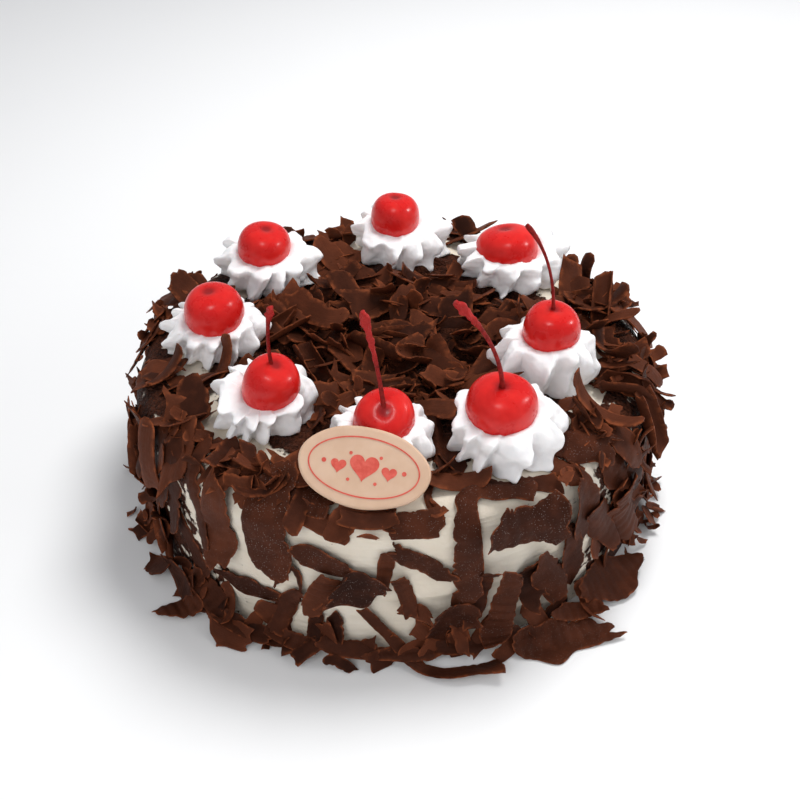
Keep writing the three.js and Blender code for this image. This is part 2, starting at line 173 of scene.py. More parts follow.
def scaled(vector, amount):
    return add("ShaderNodeVectorMath", {0: vector, "Scale": amount}, operation="SCALE")[0]


def lengthOf(vector):
    return add("ShaderNodeVectorMath", {0: vector}, operation="LENGTH")["Value"]


def combined(axes):
    return add("ShaderNodeCombineXYZ", axes)[0]


def split(vector):
    return add("ShaderNodeSeparateXYZ", {0: vector})


def stretched(vector, scale):
    return add("ShaderNodeMapping", {"Vector": vector, "Scale": scale})[0]


def noise(vector, scale, detail=2.0, output="Fac"):
    return add("ShaderNodeTexNoise", {"Vector": vector, "Scale": scale, "Detail": detail})[output]


def ramp(value, low, high):
    # 0 at low and 1 at high, with a smooth step between
    return add("ShaderNodeMapRange", {"Value": value, "From Min": low, "From Max": high},
               interpolation_type="SMOOTHSTEP")[0]


def blendColour(factor, first, second):
    first, second = (v if isinstance(v, bpy.types.NodeSocket) else (*v, 1) for v in (first, second))
    return add("ShaderNodeMix", {0: factor, 6: first, 7: second}, data_type="RGBA")[2]


def startGroup(name, kind, inputs, outputs):
    # an input is named with its default value, or with the kind of its socket
    tree = bpy.data.node_groups.new(name, kind)
    kinds = {float: "Float", int: "Int", tuple: "Vector"}
    for label, value in inputs.items():
        socketType = "NodeSocket" + kinds.get(type(value), value)
        socket = tree.interface.new_socket(label, in_out="INPUT", socket_type=socketType)
        if not isinstance(value, str):
            socket.default_value = value
    for label, socketKind in outputs.items():
        tree.interface.new_socket(label, in_out="OUTPUT", socket_type="NodeSocket" + socketKind)
    return tree, tree.nodes.new("NodeGroupInput").outputs, tree.nodes.new("NodeGroupOutput")


# Effects that several materials use.
def makeMottle():
    # soft uneven patches, 0 to 1
    tree, given, result = startGroup("mottle", "ShaderNodeTree", {
        "Vector": "Vector", "Scale": 60.0, "Low": 0.35, "High": 0.65}, {"Mask": "Float"})
    cloud = add("ShaderNodeTexNoise", {"Vector": given["Vector"], "Scale": given["Scale"],
                                       "Detail": 3.0, "Roughness": 0.6})["Fac"]
    plug(result, {"Mask": ramp(cloud, given["Low"], given["High"])})
    return tree


def makeFineBump():
    # grain of a surface as a height: a coarse and a fine layer
    tree, given, result = startGroup("fineBump", "ShaderNodeTree", {
        "Vector": "Vector", "Coarse Scale": 300.0, "Fine Scale": 1500.0, "Fine Share": 0.4},
        {"Height": "Float"})
    coarse = noise(given["Vector"], given["Coarse Scale"])
    fine = noise(given["Vector"], given["Fine Scale"], 1.0)
    plug(result, {"Height": timesPlus(fine, given["Fine Share"], coarse)})
    return tree


def makeDots():
    # small round dots scattered evenly, 1 at each dot's middle
    tree, given, result = startGroup("dots", "ShaderNodeTree", {
        "Vector": "Vector", "Scale": 1500.0, "Size": 0.25, "Share": 0.4}, {"Mask": "Float"})
    cells = add("ShaderNodeTexVoronoi", {"Vector": given["Vector"], "Scale": given["Scale"]})
    dot = ramp(cells["Distance"], given["Size"], 0.0)
    pick = add("ShaderNodeSeparateColor", {"Color": cells["Color"]})[0]
    plug(result, {"Mask": times(dot, sums("LESS_THAN", pick, given["Share"]))})
    return tree


mottle, fineBump, dots = makeMottle(), makeFineBump(), makeDots()


def patchy(here, scale, low, high):
    return add("ShaderNodeGroup", {"Vector": here, "Scale": scale, "Low": low, "High": high},
               node_tree=mottle)[0]


def grainy(here, coarse, fine, share):
    return add("ShaderNodeGroup", {"Vector": here, "Coarse Scale": coarse, "Fine Scale": fine,
                                   "Fine Share": share}, node_tree=fineBump)[0]


def dotted(here, scale, size, share):
    return add("ShaderNodeGroup", {"Vector": here, "Scale": scale, "Size": size, "Share": share},
               node_tree=dots)[0]


def startMaterial(name, shaderValues):
    material = bpy.data.materials.new(name)
    material.use_nodes = True
    plug(material.node_tree.nodes["Principled BSDF"], shaderValues)
    return material, put(material.node_tree, "ShaderNodeTexCoord").outputs["Object"]


def attribute(material, name, output="Fac"):
    return put(material.node_tree, "ShaderNodeAttribute", attribute_name=name).outputs[output]


def finish(material, sockets, bump=None):
    # feeds the shader's sockets; a bump is a height, its strength and its distance in metres
    if bump:
        height, strength, distance = bump
        sockets["Normal"] = add("ShaderNodeBump", {
            "Height": height, "Strength": strength, "Distance": distance})[0]
    plug(material.node_tree.nodes["Principled BSDF"], sockets)
    return material


# The materials. A pattern's scale is in waves a metre; dew, rim, tone and the like are attributes.
# edge is a painted glow: light shining through the thin rim of a shaving
chocolateFinish = {"deep": (0.024, 0.0072, 0.0039), "worn": (0.13, 0.036, 0.0162),
                   "edge": (0.25, 0.066, 0.024), "dew": (0.44, 0.36, 0.33), "rough": 0.5,
                   "scrapes": (70, 1500, 1)}


def makeChocolate():
    look = chocolateFinish
    material, here = startMaterial("darkChocolate", {"Specular IOR Level": 0.09})
    lines = noise(stretched(attribute(material, "grain", "Vector"), look["scrapes"]), 1.0)
    lightness = timesPlus(attribute(material, "tone"), 0.75, times(patchy(here, 120.0, 0.4, 0.72), 0.24))
    base = blendColour(lightness, look["deep"], look["worn"])
    broken = timesPlus(patchy(here, 330.0, 0.42, 0.66), 0.8, 0.08)
    # painted light: the thin rims turn a lighter reddish brown, as if lit through the chocolate
    edge = times(sums("POWER", attribute(material, "rim"), 1.4), broken)
    # dew: real drops with bump and gloss, and their glints painted as pale dots
    dew = times(attribute(material, "dew"), dotted(here, 1500.0, 0.3, 0.8))
    dew = times(dew, patchy(here, 260.0, 0.36, 0.56))
    colour = blendColour(times(dew, 0.75), blendColour(edge, base, look["edge"]), look["dew"])
    height = timesPlus(lines, 0.5, timesPlus(dew, 0.9, grainy(here, 420.0, 2600.0, 0.35)))
    return finish(material, {
        "Base Color": colour, "Roughness": timesPlus(dew, -0.25, timesPlus(lines, 0.16, look["rough"]))},
        (height, 0.5, 0.0005))


coatFinish = {"dull": (0.70, 0.62, 0.51), "bright": (0.76, 0.69, 0.585), "dust": (0.17, 0.08, 0.05),
              "darkCrumb": (0.026, 0.008, 0.0044), "paleCrumb": (0.075, 0.023, 0.0115),
              "crumbs": 760.0, "strokes": (40, 40, 520)}


def makeCoatCream():
    # whipped cream with knife marks round the side; "bed" is where fine chocolate crumbs hide it
    look = coatFinish
    material, here = startMaterial("creamCoat", {
        "Specular IOR Level": 0.14, "Subsurface Radius": (0.004, 0.003, 0.002), "Subsurface Scale": 0.5})
    cream = blendColour(patchy(here, 45.0, 0.3, 0.7), look["dull"], look["bright"])
    cream = blendColour(times(dotted(here, 330.0, 0.1, 0.2), 0.8), cream, look["dust"])
    stirred = vectors("ADD", here, scaled(noise(here, 700.0, output="Color"), 0.0016))
    crumbs = add("ShaderNodeTexVoronoi", {"Vector": stirred, "Scale": look["crumbs"]})
    bed = timesPlus(attribute(material, "bed"), 1.15, -1.05)
    bed = ramp(timesPlus(noise(here, 210.0, 3.0), 1.1, bed), 0.0, 0.08)
    tint = add("ShaderNodeSeparateColor", {"Color": crumbs["Color"]})[0]
    crumb = blendColour(tint, look["darkCrumb"], look["paleCrumb"])
    streaks = noise(stretched(here, look["strokes"]), 1.0)
    plain = timesPlus(streaks, 0.9, times(grainy(here, 260.0, 1100.0, 0.3), 0.6))
    rough = times(minus(1.0, crumbs["Distance"]), 4.0)
    return finish(material, {
        "Base Color": blendColour(bed, cream, crumb), "Roughness": timesPlus(bed, 0.12, 0.5),
        "Subsurface Weight": timesPlus(bed, -0.12, 0.12)}, (plus(plain, times(rough, bed)), 0.6, 0.001))


whippedFinish = {"dull": (0.93, 0.905, 0.905), "bright": (0.97, 0.95, 0.95), "juice": (0.82, 0.30, 0.31)}


def makeWhippedCream():
    look = whippedFinish
    material, here = startMaterial("whippedCream", {
        "Roughness": 0.42, "Specular IOR Level": 0.45, "Subsurface Weight": 0.18,
        "Subsurface Radius": (0.004, 0.0034, 0.003), "Subsurface Scale": 0.5})
    cream = blendColour(patchy(here, 120.0, 0.3, 0.7), look["dull"], look["bright"])
    juice = times(times(attribute(material, "juice"), 0.6), patchy(here, 130.0, 0.42, 0.66))
    return finish(material, {"Base Color": blendColour(juice, cream, look["juice"])},
                  (grainy(here, 420.0, 1500.0, 0.3), 0.25, 0.0006))


cherryFinish = {"red": (0.60, 0.010, 0.009), "bright": (0.72, 0.022, 0.017), "dimple": (0.16, 0.004, 0.006)}


def makeCherrySkin():
    look = cherryFinish
    material, here = startMaterial("cherrySkin", {
        "Specular IOR Level": 0.32, "Subsurface Weight": 0.4, "Subsurface Radius": (0.004, 0.0006, 0.0006),
        "Subsurface Scale": 0.6, "Coat Weight": 0.16, "Coat Roughness": 0.14})
    patches = patchy(here, 130.0, 0.35, 0.75)
    skin = blendColour(patches, look["red"], look["bright"])
    return finish(material, {
        "Base Color": blendColour(attribute(material, "deep"), skin, look["dimple"]),
        "Roughness": timesPlus(patches, 0.12, 0.26)}, (grainy(here, 230.0, 900.0, 0.25), 0.16, 0.0007))


stemFinish = {"dark": (0.16, 0.006, 0.005), "red": (0.27, 0.012, 0.010), "frayed": (0.38, 0.020, 0.018)}


def makeStemSkin():
    look = stemFinish
    material, here = startMaterial("stemSkin", {"Roughness": 0.5, "Specular IOR Level": 0.2})
    stem = blendColour(patchy(here, 700.0, 0.35, 0.65), look["dark"], look["red"])
    return finish(material, {"Base Color": blendColour(attribute(material, "deep"), stem, look["frayed"])},
                  (grainy(here, 1100.0, 3000.0, 0.5), 0.5, 0.0004))


plaqueFinish = {"dull": (0.65, 0.43, 0.295), "bright": (0.70, 0.485, 0.345), "pits": (0.60, 0.36, 0.22),
                "redInk": (0.62, 0.07, 0.045), "paleInk": (0.72, 0.12, 0.085)}


def makePlaqueChocolate():
    look = plaqueFinish
    material, here = startMaterial("whiteChocolate", {
        "Specular IOR Level": 0.42, "Subsurface Weight": 0.12,
        "Subsurface Radius": (0.003, 0.002, 0.001), "Subsurface Scale": 0.5})
    patches = patchy(here, 110.0, 0.3, 0.7)
    ivory = blendColour(patches, look["dull"], look["bright"])
    pits = times(dotted(here, 520.0, 0.13, 0.12), 0.4)
    return finish(material, {
        "Base Color": blendColour(pits, ivory, look["pits"]),
        "Roughness": timesPlus(patches, 0.10, 0.36)}, (grainy(here, 240.0, 1400.0, 0.2), 0.12, 0.0006))


def makePlaqueInk():
    material, here = startMaterial("redFoodInk", {"Roughness": 0.4})
    return finish(material, {"Base Color": blendColour(
        patchy(here, 520.0, 0.3, 0.7), plaqueFinish["redInk"], plaqueFinish["paleInk"])})


def makeFloorPaper():
    material, here = startMaterial("palePaper", {"Roughness": 0.7, "Specular IOR Level": 0.2})
    colour = backdrop["floorColour"]
    return finish(material, {"Base Color": blendColour(
        patchy(here, 4.0, 0.2, 0.8), [c * 0.985 for c in colour], colour)})


# The cake's shape, and how a shaving lies on it.
cakeShape = {"radius": 96.5, "height": 59.5, "shoulder": 11, "foot": 13}
shoulderStart = cakeShape["radius"] - cakeShape["shoulder"]
sideStart = shoulderStart + cakeShape["shoulder"] * math.pi / 2
sideLength = cakeShape["height"] - cakeShape["shoulder"] - cakeShape["foot"]
footStart = sideStart + sideLength
tableStart = footStart + cakeShape["foot"] * math.pi / 2


def dice(seed):
    state = seed

    def roll():
        nonlocal state
        state = (state * 1664525 + 1013904223) & 0xFFFFFFFF
        return state / 4294967296
    return roll


def between(pair, share):
    return pair[0] + (pair[1] - pair[0]) * share


def isBetween(value, pair):
    return pair[0] < value < pair[1]


def surfaceAt(run):
    # radius, height and tilt of the cake's outline, a run away from the top's centre
    over = np.clip((run - shoulderStart) / cakeShape["shoulder"], 0, math.pi / 2)
    out = np.clip((run - footStart) / cakeShape["foot"], 0, math.pi / 2)
    down = np.clip(run - sideStart, 0, sideLength)
    radius = (np.minimum(run, shoulderStart) + cakeShape["shoulder"] * np.sin(over)
              + cakeShape["foot"] * (1 - np.cos(out)) + np.maximum(0, run - tableStart))
    height = (cakeShape["height"] - cakeShape["shoulder"] * (1 - np.cos(over)) - down
              - cakeShape["foot"] * np.sin(out))
    return radius, height, over - out


def bendSheet(spec, x, y):
    # bends a flat sheet: in its plane, along its length, across its width, then turned
    bend = math.radians(spec.get("bend", 0))
    if bend:
        start = spec.get("bendFrom", -1) * spec["length"] / 2
        stop = spec.get("bendTo", 1) * spec["length"] / 2
        radius = (stop - start) / bend
        turn = np.clip(x - start, 0, stop - start) / radius
        beyond = np.maximum(0, x - stop)
        x, y = (np.minimum(x, start) + (radius - y) * np.sin(turn) + beyond * np.cos(turn),
                radius - (radius - y) * np.cos(turn) + beyond * np.sin(turn))
    arc = math.radians(spec.get("curl", 0)) or 1e-4
    bendRadius = spec["length"] / arc
    z = bendRadius * (1 - np.cos(x / bendRadius))
    x = bendRadius * np.sin(x / bendRadius)
    if spec.get("across"):
        rollRadius = spec["width"] / math.radians(spec["across"])
        wind = rollRadius * (1 - spec.get("wind", 0) * (y / spec["width"] + 0.5))
        z = z + rollRadius - wind * np.cos(y / rollRadius)
        y = wind * np.sin(y / rollRadius)
    roll, pitch = math.radians(spec.get("roll", 0)), -math.radians(spec.get("pitch", 0))
    y, z = y * math.cos(roll) - z * math.sin(roll), y * math.sin(roll) + z * math.cos(roll)
    x, z = x * math.cos(pitch) + z * math.sin(pitch), z * math.cos(pitch) - x * math.sin(pitch)
    return x, y, z


def halfWidth(spec, along):
    # narrower at both ends by taper, wider at the far end by flare, drawn out there by point
    point = 1 - spec.get("point", 0) * np.clip(along, 0, 1) ** 1.6
    return (spec["width"] / 2 * (1 - spec.get("taper", 0.15) * along ** 2)
            * (1 + spec.get("flare", 0) * along) * point)


def settle(spec):
    along, across = np.meshgrid([-1, -0.5, 0, 0.5, 1], [-1, 0, 1], indexing="ij")
    x = along * spec["length"] / 2
    y = across * halfWidth(spec, along)
    return spec.get("lift", 0) - 0.7 - bendSheet(spec, x, y)[2].min()


def layOnCake(spec, x, y, rise):
    heading, angle = math.radians(spec["heading"]), math.radians(spec["angle"])
    run = spec["run"] + x * math.cos(heading) - y * math.sin(heading)
    aside = x * math.sin(heading) + y * math.cos(heading)
    radius, height, tilt = surfaceAt(run)
    reach = radius + rise * np.sin(tilt)
    level = height + rise * np.cos(tilt)
    if spec["run"] + spec["length"] / 2 < shoulderStart:
        return np.stack([reach * math.cos(angle) - aside * math.sin(angle),
                         reach * math.sin(angle) + aside * math.cos(angle), level], -1)
    turned = angle + aside / surfaceAt(spec["run"])[0]
    return np.stack([reach * np.cos(turned), reach * np.sin(turned), level], -1)


# Torn sheets of chocolate. Those within sideRun stand off the side of the cake. The steps are the
# grids of the shavings listed one by one, in bands and loose.
shavingLook = {"thickness": 0.8, "thinEdge": 0.34, "thinRun": 1.2, "rimWidth": 0.8, "torn": 2.1,
               "wave": 0.19, "ripple": 0.4, "slant": 0.5, "corner": 0.4, "arch": (-60, 30),
               "crimp": 0.3, "peel": 4.2, "bend": 13, "standOff": 42, "sideRun": (85, 146),
               "bed": 0.5, "above": 0.6, "plaqueGap": 0.7, "sharpAngle": 48,
               "handStep": 0.66, "bandStep": 1.05, "looseStep": 1.3}


def softLine(draw, count, knots, amount):
    # a smooth random line of so many points
    rough = [draw() * 2 - 1 for _ in range(knots + 2)]
    at = np.linspace(0, knots, count)
    step = at.astype(int)
    part = at - step
    part = part * part * (3 - 2 * part)
    rough = np.array(rough + [0])
    return amount * (rough[step] * (1 - part) + rough[step + 1] * part)


def notches(draw, count, step, amount):
    # a finely rough edge with a few deeper breaks
    bites = np.array([draw() for _ in range(count)]) * 0.16 * amount
    for _ in range(round(count * step / 5 * min(1, amount)) + 1):
        at, wide = draw() * (count - 1), (0.5 + 1.6 * draw()) / step
        deep = (0.25 + 1.1 * draw() ** 2) * amount
        bites += deep * np.clip(1 - np.abs(np.arange(count) - at) / wide, 0, 1)
    return bites


def tornSheet(spec, draw, pitch):
    # x and y of a sheet's grid with torn ends and lightly broken sides
    along = np.linspace(-1, 1, max(4, round(spec["length"] / pitch)) + 1)
    across = np.linspace(-1, 1, max(3, round(spec["width"] / pitch / 1.1)) + 1)
    half = halfWidth(spec, along)
    wave = spec.get("wave", shavingLook["wave"])
    small = min(1, spec["width"] / 8)
    sides = []
    for share in spec.get("toothed", (1, 0.3)):
        bites = notches(draw, len(along), pitch, share * small)
        knots = max(2, round(spec["length"] / 8))
        sides.append(half * (1 + softLine(draw, len(along), knots, wave)) - bites)
    torn = spec.get("torn", shavingLook["torn"]) * min(1, spec["width"] / 9)
    ends = []
    for _ in range(2):
        bites = notches(draw, len(across), pitch * 1.1, 1.1 * small)
        ends.append(softLine(draw, len(across), max(2, round(spec["width"] / 4)), torn) + bites)
    u, v = np.meshgrid(along, across, indexing="ij")
    y = np.where(v > 0, v * sides[0][:, None], v * sides[1][:, None])
    x = u * spec["length"] / 2
    # ends cut askew, their corners worn round, then torn
    for side, bites in ((1, ends[0]), (-1, ends[1])):
        slant = spec.get("slant", shavingLook["slant"]) * (2 * draw() - 1) * across
        corner = spec.get("corner", shavingLook["corner"]) * draw() * np.abs(across) ** 3
        worn = bites + (slant + corner) * spec["width"] / 2
        x = x - side * np.clip(side * u, 0, 1) ** 3 * worn[None, :]
    return x, y


def startPile():
    return {"points": [], "faces": [], "rim": [], "grain": [], "tone": [], "dew": [], "count": 0}


def addSheet(pile, points, x, y, tone=0.5, dew=0):
    # points is the sheet's middle surface, in mm, as a grid
    rows, columns = points.shape[:2]
    du, dv = np.gradient(points, axis=0), np.gradient(points, axis=1)
    normal = np.cross(du, dv)
    normal /= np.maximum(np.linalg.norm(normal, axis=-1, keepdims=True), 1e-9)
    i, j = np.meshgrid(np.arange(rows), np.arange(columns), indexing="ij")
    inset = np.minimum(np.minimum(i, rows - 1 - i) * np.linalg.norm(du, axis=-1),
                       np.minimum(j, columns - 1 - j) * np.linalg.norm(dv, axis=-1))
    look = shavingLook
    thin = between((look["thinEdge"], 1), np.clip(inset / look["thinRun"], 0, 1))
    depth = look["thickness"] * thin[..., None]
    # rim is 1 at a sheet's edge, where the material paints light shining through the chocolate
    rim = np.clip(1 - inset / look["rimWidth"], 0, 1)
    start, each = pile["count"], rows * columns
    pile["points"] += [points + normal * depth / 2, points - normal * depth / 2]
    top = start + i * columns + j
    corners = [top[:-1, :-1], top[1:, :-1], top[1:, 1:], top[:-1, 1:]]
    pile["faces"].append(np.stack(corners, -1).reshape(-1, 4))
    a, b, c, d = (corner + each for corner in corners)
    pile["faces"].append(np.stack([a, d, c, b], -1).reshape(-1, 4))
    loop = np.concatenate([top[:-1, 0], top[-1, :-1], top[:0:-1, -1], top[0, :0:-1]])
    after = np.roll(loop, -1)
    pile["faces"].append(np.stack([loop, loop + each, after + each, after], -1))
    seedShift = (start % 977) * 0.013
    grain = np.stack([x * mm + seedShift, y * mm, np.full_like(x, seedShift)], -1)
    for _ in range(2):
        pile["rim"].append(rim.ravel())
        pile["grain"].append(grain.reshape(-1, 3))
        pile["tone"].append(np.full(each, tone))
        pile["dew"].append(np.full(each, dew))
    pile["count"] = start + 2 * each


def storeOnPoints(mesh, label, values, kind="FLOAT"):
    field = "vector" if kind == "FLOAT_VECTOR" else "value"
    number = np.int32 if kind == "INT" else np.float32
    mesh.attributes.new(label, kind, "POINT").data.foreach_set(field, np.array(values, number).ravel())


def meshFromPile(name, pile, material):
    mesh = bpy.data.meshes.new(name)
    points = np.concatenate([p.reshape(-1, 3) for p in pile["points"]]) * mm
    mesh.from_pydata(points.tolist(), [], np.concatenate(pile["faces"]).tolist())
    for label in ("rim", "tone", "dew"):
        storeOnPoints(mesh, label, np.concatenate(pile[label]))
    storeOnPoints(mesh, "grain", np.concatenate(pile["grain"]), "FLOAT_VECTOR")
    mesh.polygons.foreach_set("use_smooth", [True] * len(mesh.polygons))
    mesh.set_sharp_from_angle(angle=math.radians(shavingLook["sharpAngle"]))
    mesh.materials.append(material)
    mesh.validate()
    return addObject(name, mesh)


# The shavings listed one by one: angle, run, heading, length, width and tone, then what is special.
# Angle and run place a shaving's middle: run is the distance from the top's centre, out over the
# shoulder and down the side. Heading 0 points down the side, and 90 to the right. Lift, roll and
# pitch raise and tilt it, curl bends it along its length, across rolls it up, and bend turns it in
# its plane. Tone is how light it is, and dew its fine drops, whose glints are painted as pale dots.
def shaving(angle, run, heading, length, width, tone, **more):
    return {"angle": angle, "run": run, "heading": heading, "length": length, "width": width,
            "tone": tone, **more}


frontShavings = [
    shaving(-116.5, 98, 3, 39, 15.5, 0.35, curl=8, lift=1.6, taper=0.05, flare=-0.02, dew=1),
    shaving(-128, 107.5, -3, 32, 13.5, 0.6, curl=12, taper=0.3, roll=-6, dew=0.3),
    shaving(-143, 103, 4, 44, 9.5, 0.2, curl=10, taper=0.35),
    shaving(-135, 102, 16, 38, 8, 0.3, curl=6, taper=0.3, roll=8),
    shaving(-130, 85, 0, 18, 11, 0.6, curl=16, taper=0.5),
    shaving(-123, 90, 22, 17, 7, 0.8, curl=10, across=60),
    shaving(-123, 133, 90, 28, 8, 0.1, curl=12, taper=0.6, dew=0.6),
    shaving(-115, 133, -54, 28, 7.5, 0.3, curl=26, bend=62, taper=0.3),
    shaving(-104, 109.5, 63, 22, 10, 0.3, curl=22, roll=8, taper=0.4, dew=0.7),
    shaving(-97.5, 118.5, 97, 17, 17, 0, curl=14, lift=1.4, taper=0.45, dew=1),
    shaving(-105, 124, -20, 20, 9.5, 0.7, curl=34, roll=-12),
    shaving(-107, 141, -3, 12.5, 6, 0),
    shaving(-102.7, 141, 2, 15, 6.8, 0, taper=0.3),
    shaving(-108, 87, 77, 19, 12, 0.3, curl=10, dew=1),
    shaving(-106, 93.5, 81, 24, 8, 0.8, curl=10, across=40, roll=14),
    shaving(-95, 91.5, 87, 20, 8, 0.4, curl=12, roll=-8),
    shaving(-87, 95, 80, 18, 10, 0.4, curl=16, roll=8, dew=0.6),
    shaving(-122.6, 155.5, 100, 16, 12, 0.7, curl=20, roll=12, taper=0.1),
    shaving(-121, 151, 88, 22, 9, 0.3, curl=14, roll=-20),
    shaving(-76.4, 94, 180, 69, 8.6, 0.3, curl=4, lift=1.2, bend=-108, bendFrom=0.04, bendTo=0.42,
            taper=0.02, flare=-0.15, dew=0.7),
    shaving(-64.5, 101, 80, 27, 15, 0.15, curl=14, lift=2, roll=6, taper=0.1, flare=0.16, dew=1,
            toothed=(1, 1)),
    shaving(-58, 129.5, 28, 27, 12, 0.3, curl=10, lift=1.4, taper=0.2, dew=0.4),
    shaving(-51.8, 126.5, 12, 28, 11, 0.2, curl=6, taper=0.4),
    shaving(-48.5, 109, 12, 31, 14, 0.3, curl=8, taper=0.4, dew=0.3),
    shaving(-69, 134, -8, 38, 10, 0.35, curl=30, lift=2.4, roll=10, flare=0.1, dew=0.4),
    shaving(-73.5, 127, -12, 28, 8, 0.15, curl=20, taper=0.3),
    shaving(-84.8, 108, 58, 26, 8, 0.2, curl=22, lift=0.6, bend=-16, dew=0.5),
    shaving(-92, 112, -4, 21, 5.5, 0.6, curl=10),
    shaving(-79, 136, 84, 18, 18, 0.1, curl=26, roll=10, taper=0.35, dew=0.5),
    shaving(-58.5, 158.5, 66, 38, 17, 0.3, curl=16, roll=10, taper=0.35, wave=0.34, torn=4, dew=0.3),
    shaving(-52.5, 152, 62, 24, 10, 0.5, curl=20, roll=-24),
    shaving(-43.5, 86.5, 52, 23, 14, 0.3, curl=12, roll=8, dew=0.5),
    shaving(-40, 99, 14, 26, 12, 0.4, curl=10, taper=0.4),
    shaving(-42, 149.5, -109, 33, 16, 0.3, curl=14, roll=6, taper=0.3, wave=0.3, torn=3),
    shaving(-62.3, 129, 8, 20, 11, 0.1),
    shaving(-87.6, 152.3, 36, 60, 4.8, 0.3, curl=8, bend=46, bendFrom=-0.15, bendTo=0.5, taper=0.05,
            flare=0.1, point=-1.05),
    shaving(-78.3, 149, 78, 20, 7, 0.2, roll=-10),
    shaving(-100, 148, 86, 22, 7, 0.3, curl=16, roll=-16),
    shaving(-111, 149, 78, 20, 7, 0.4, curl=24, roll=-20),
    shaving(-90, 149, 92, 24, 6, 0.3, curl=10, roll=-14),
    shaving(-132, 146, 70, 26, 10, 0.3, curl=18, roll=-16),
    shaving(-139, 132, 30, 32, 9, 0.2, curl=16, taper=0.4),
    shaving(-19, 86, 14, 24, 22, 0.4, curl=10, across=300, lift=0.2, wind=0.35),
    shaving(-141, 34, 78, 37, 17, 0.3, curl=6, across=250, pitch=-9, wind=0.3),
    shaving(-75.6, 61.5, 5, 29, 9.5, 0.2, curl=20, lift=3, roll=20),
    shaving(-58.5, 89.5, 63, 15, 6.5, 0.4),
    shaving(-123.5, 51, 57, 18, 7, 0.4, curl=40, lift=2.5, roll=20),
    shaving(-43.3, 120, 26, 29, 12, 0.4, curl=10, taper=0.3),
    shaving(-34, 122, 20, 30, 14, 0.5, curl=14, lift=1.5),
    shaving(-149, 104, 8, 32, 12, 0.3, curl=10, taper=0.3),
    shaving(-135.4, 157.5, -25, 21, 11, 0.5, curl=10, roll=10, taper=0.1, point=0.9),
]

# thin slivers and curls between them
frontSlivers = [
    shaving(-110, 119, 22, 12, 2.6, 0.2, curl=30, point=0.6),
    shaving(-113.5, 120, -30, 15, 4, 0.4, point=0.8),
    shaving(-88.8, 121.5, 12, 21, 5.5, 0.3, curl=30, toothed=(1.4, 0.2)),
    shaving(-87, 130, 68, 12, 7, 0.6, curl=30, roll=-10, taper=0.6),
    shaving(-57, 146, 113, 16, 4, 0.2, point=0.6),
    shaving(-68.5, 83.5, 55, 15, 7, 0.2),
    shaving(-75.9, 71.5, 17, 13, 6.5, 0.2, curl=34, lift=1.5),
    shaving(-51, 88.5, 28, 15, 9, 0.5),
    shaving(-85.5, 77, -75, 25, 2.6, 0.3, bend=120, lift=0.8),
]

# shavings set out evenly over a stretch of the cake, the first over the whole disc of the top
shavingBands = [
    {"seed": 11, "count": 67, "angle": (0, 360), "run": (0, 84), "disc": True, "heading": (0, 360),
     "length": (17, 30), "width": (8, 14), "curl": (0, 54), "roll": 24, "pitch": 16, "lift": (-0.2, 3)},
    {"seed": 23, "count": 23, "angle": (-34, 212), "run": (84, 103), "heading": (-70, 80),
     "length": (20, 34), "width": (10, 15), "curl": (0, 24), "roll": 16, "pitch": 9, "lift": (-0.2, 0.8)},
    {"seed": 37, "count": 19, "angle": (-42, 214), "run": (108, 136), "heading": (-60, 70),
     "length": (20, 32), "width": (8, 13), "curl": (4, 26), "roll": 12, "pitch": 6, "lift": (-0.2, 0.5)},
    {"seed": 41, "count": 24, "angle": (-44, 232), "run": (143, 153), "heading": (50, 130),
     "length": (16, 28), "width": (9, 14), "curl": (4, 34), "roll": 30, "pitch": 14, "lift": (-0.4, 0)},
]
evenTurn = 137.508  # the turn that fills a disc evenly


def bandShavings(band):
    roll = dice(band["seed"])

    def either(most):
        return most * (2 * roll() - 1)

    laid = []
    for i in range(band["count"]):
        share = (i + 0.5) / band["count"]
        first, last = band["angle"]
        if band.get("disc"):
            angle, run = (i * evenTurn) % 360 + either(12), band["run"][1] * math.sqrt(share)
        else:
            angle = first + share * (last - first) + either((last - first) / band["count"])
            run = between(band["run"], roll())
        spec = {"angle": angle, "run": run}
        for key in ("heading", "length", "width", "curl"):
            spec[key] = between(band[key], roll())
        spec["roll"], spec["pitch"] = either(band["roll"]), either(band["pitch"])
        spec["lift"] = between(band["lift"], roll())
        spec["taper"] = 0.1 + 0.4 * roll()
        laid.append(spec)
    return laid


def solidTest(node):
    # tells whether a point is inside a node's solid, by counting the faces above it
    mesh = frame["nodes"][node].data
    tree = BVHTree.FromPolygons([v.co.copy() for v in mesh.vertices],
                                [tuple(p.vertices) for p in mesh.polygons])
    direction = Vector((0.013, 0.021, 1)).normalized()

    def inside(point):
        hits, start = 0, Vector(point)
        while hits < 60:
            where, _, _, _ = tree.ray_cast(start, direction)
            if where is None:
                break
            hits += 1
            start = where + direction * 2e-6
        return hits % 2 == 1
    return inside


def keptInCad(spec, inside):
    # whether the solids have this shaving's slab: most of its middle lies in them
    along, across = np.meshgrid([-0.7, 0.0, 0.7], [-0.6, 0.6], indexing="ij")
    x = along * spec["length"] / 2
    y = across * halfWidth(spec, along)
    x, y, z = bendSheet(spec, x, y)
    points = layOnCake(spec, x, y, z + settle(spec) + shavingLook["bed"]).reshape(-1, 3)
    points[:, 2] = np.maximum(points[:, 2], 0.4)
    return sum(inside(p * mm) for p in points) >= 4


def archOf(y, width, degrees):
    # a slight roll across a sheet's width, which never sinks below its flat place
    radius = width / (math.radians(degrees) or 1e-4)
    rise = radius * (1 - np.cos(y / radius))
    return rise - rise.min()


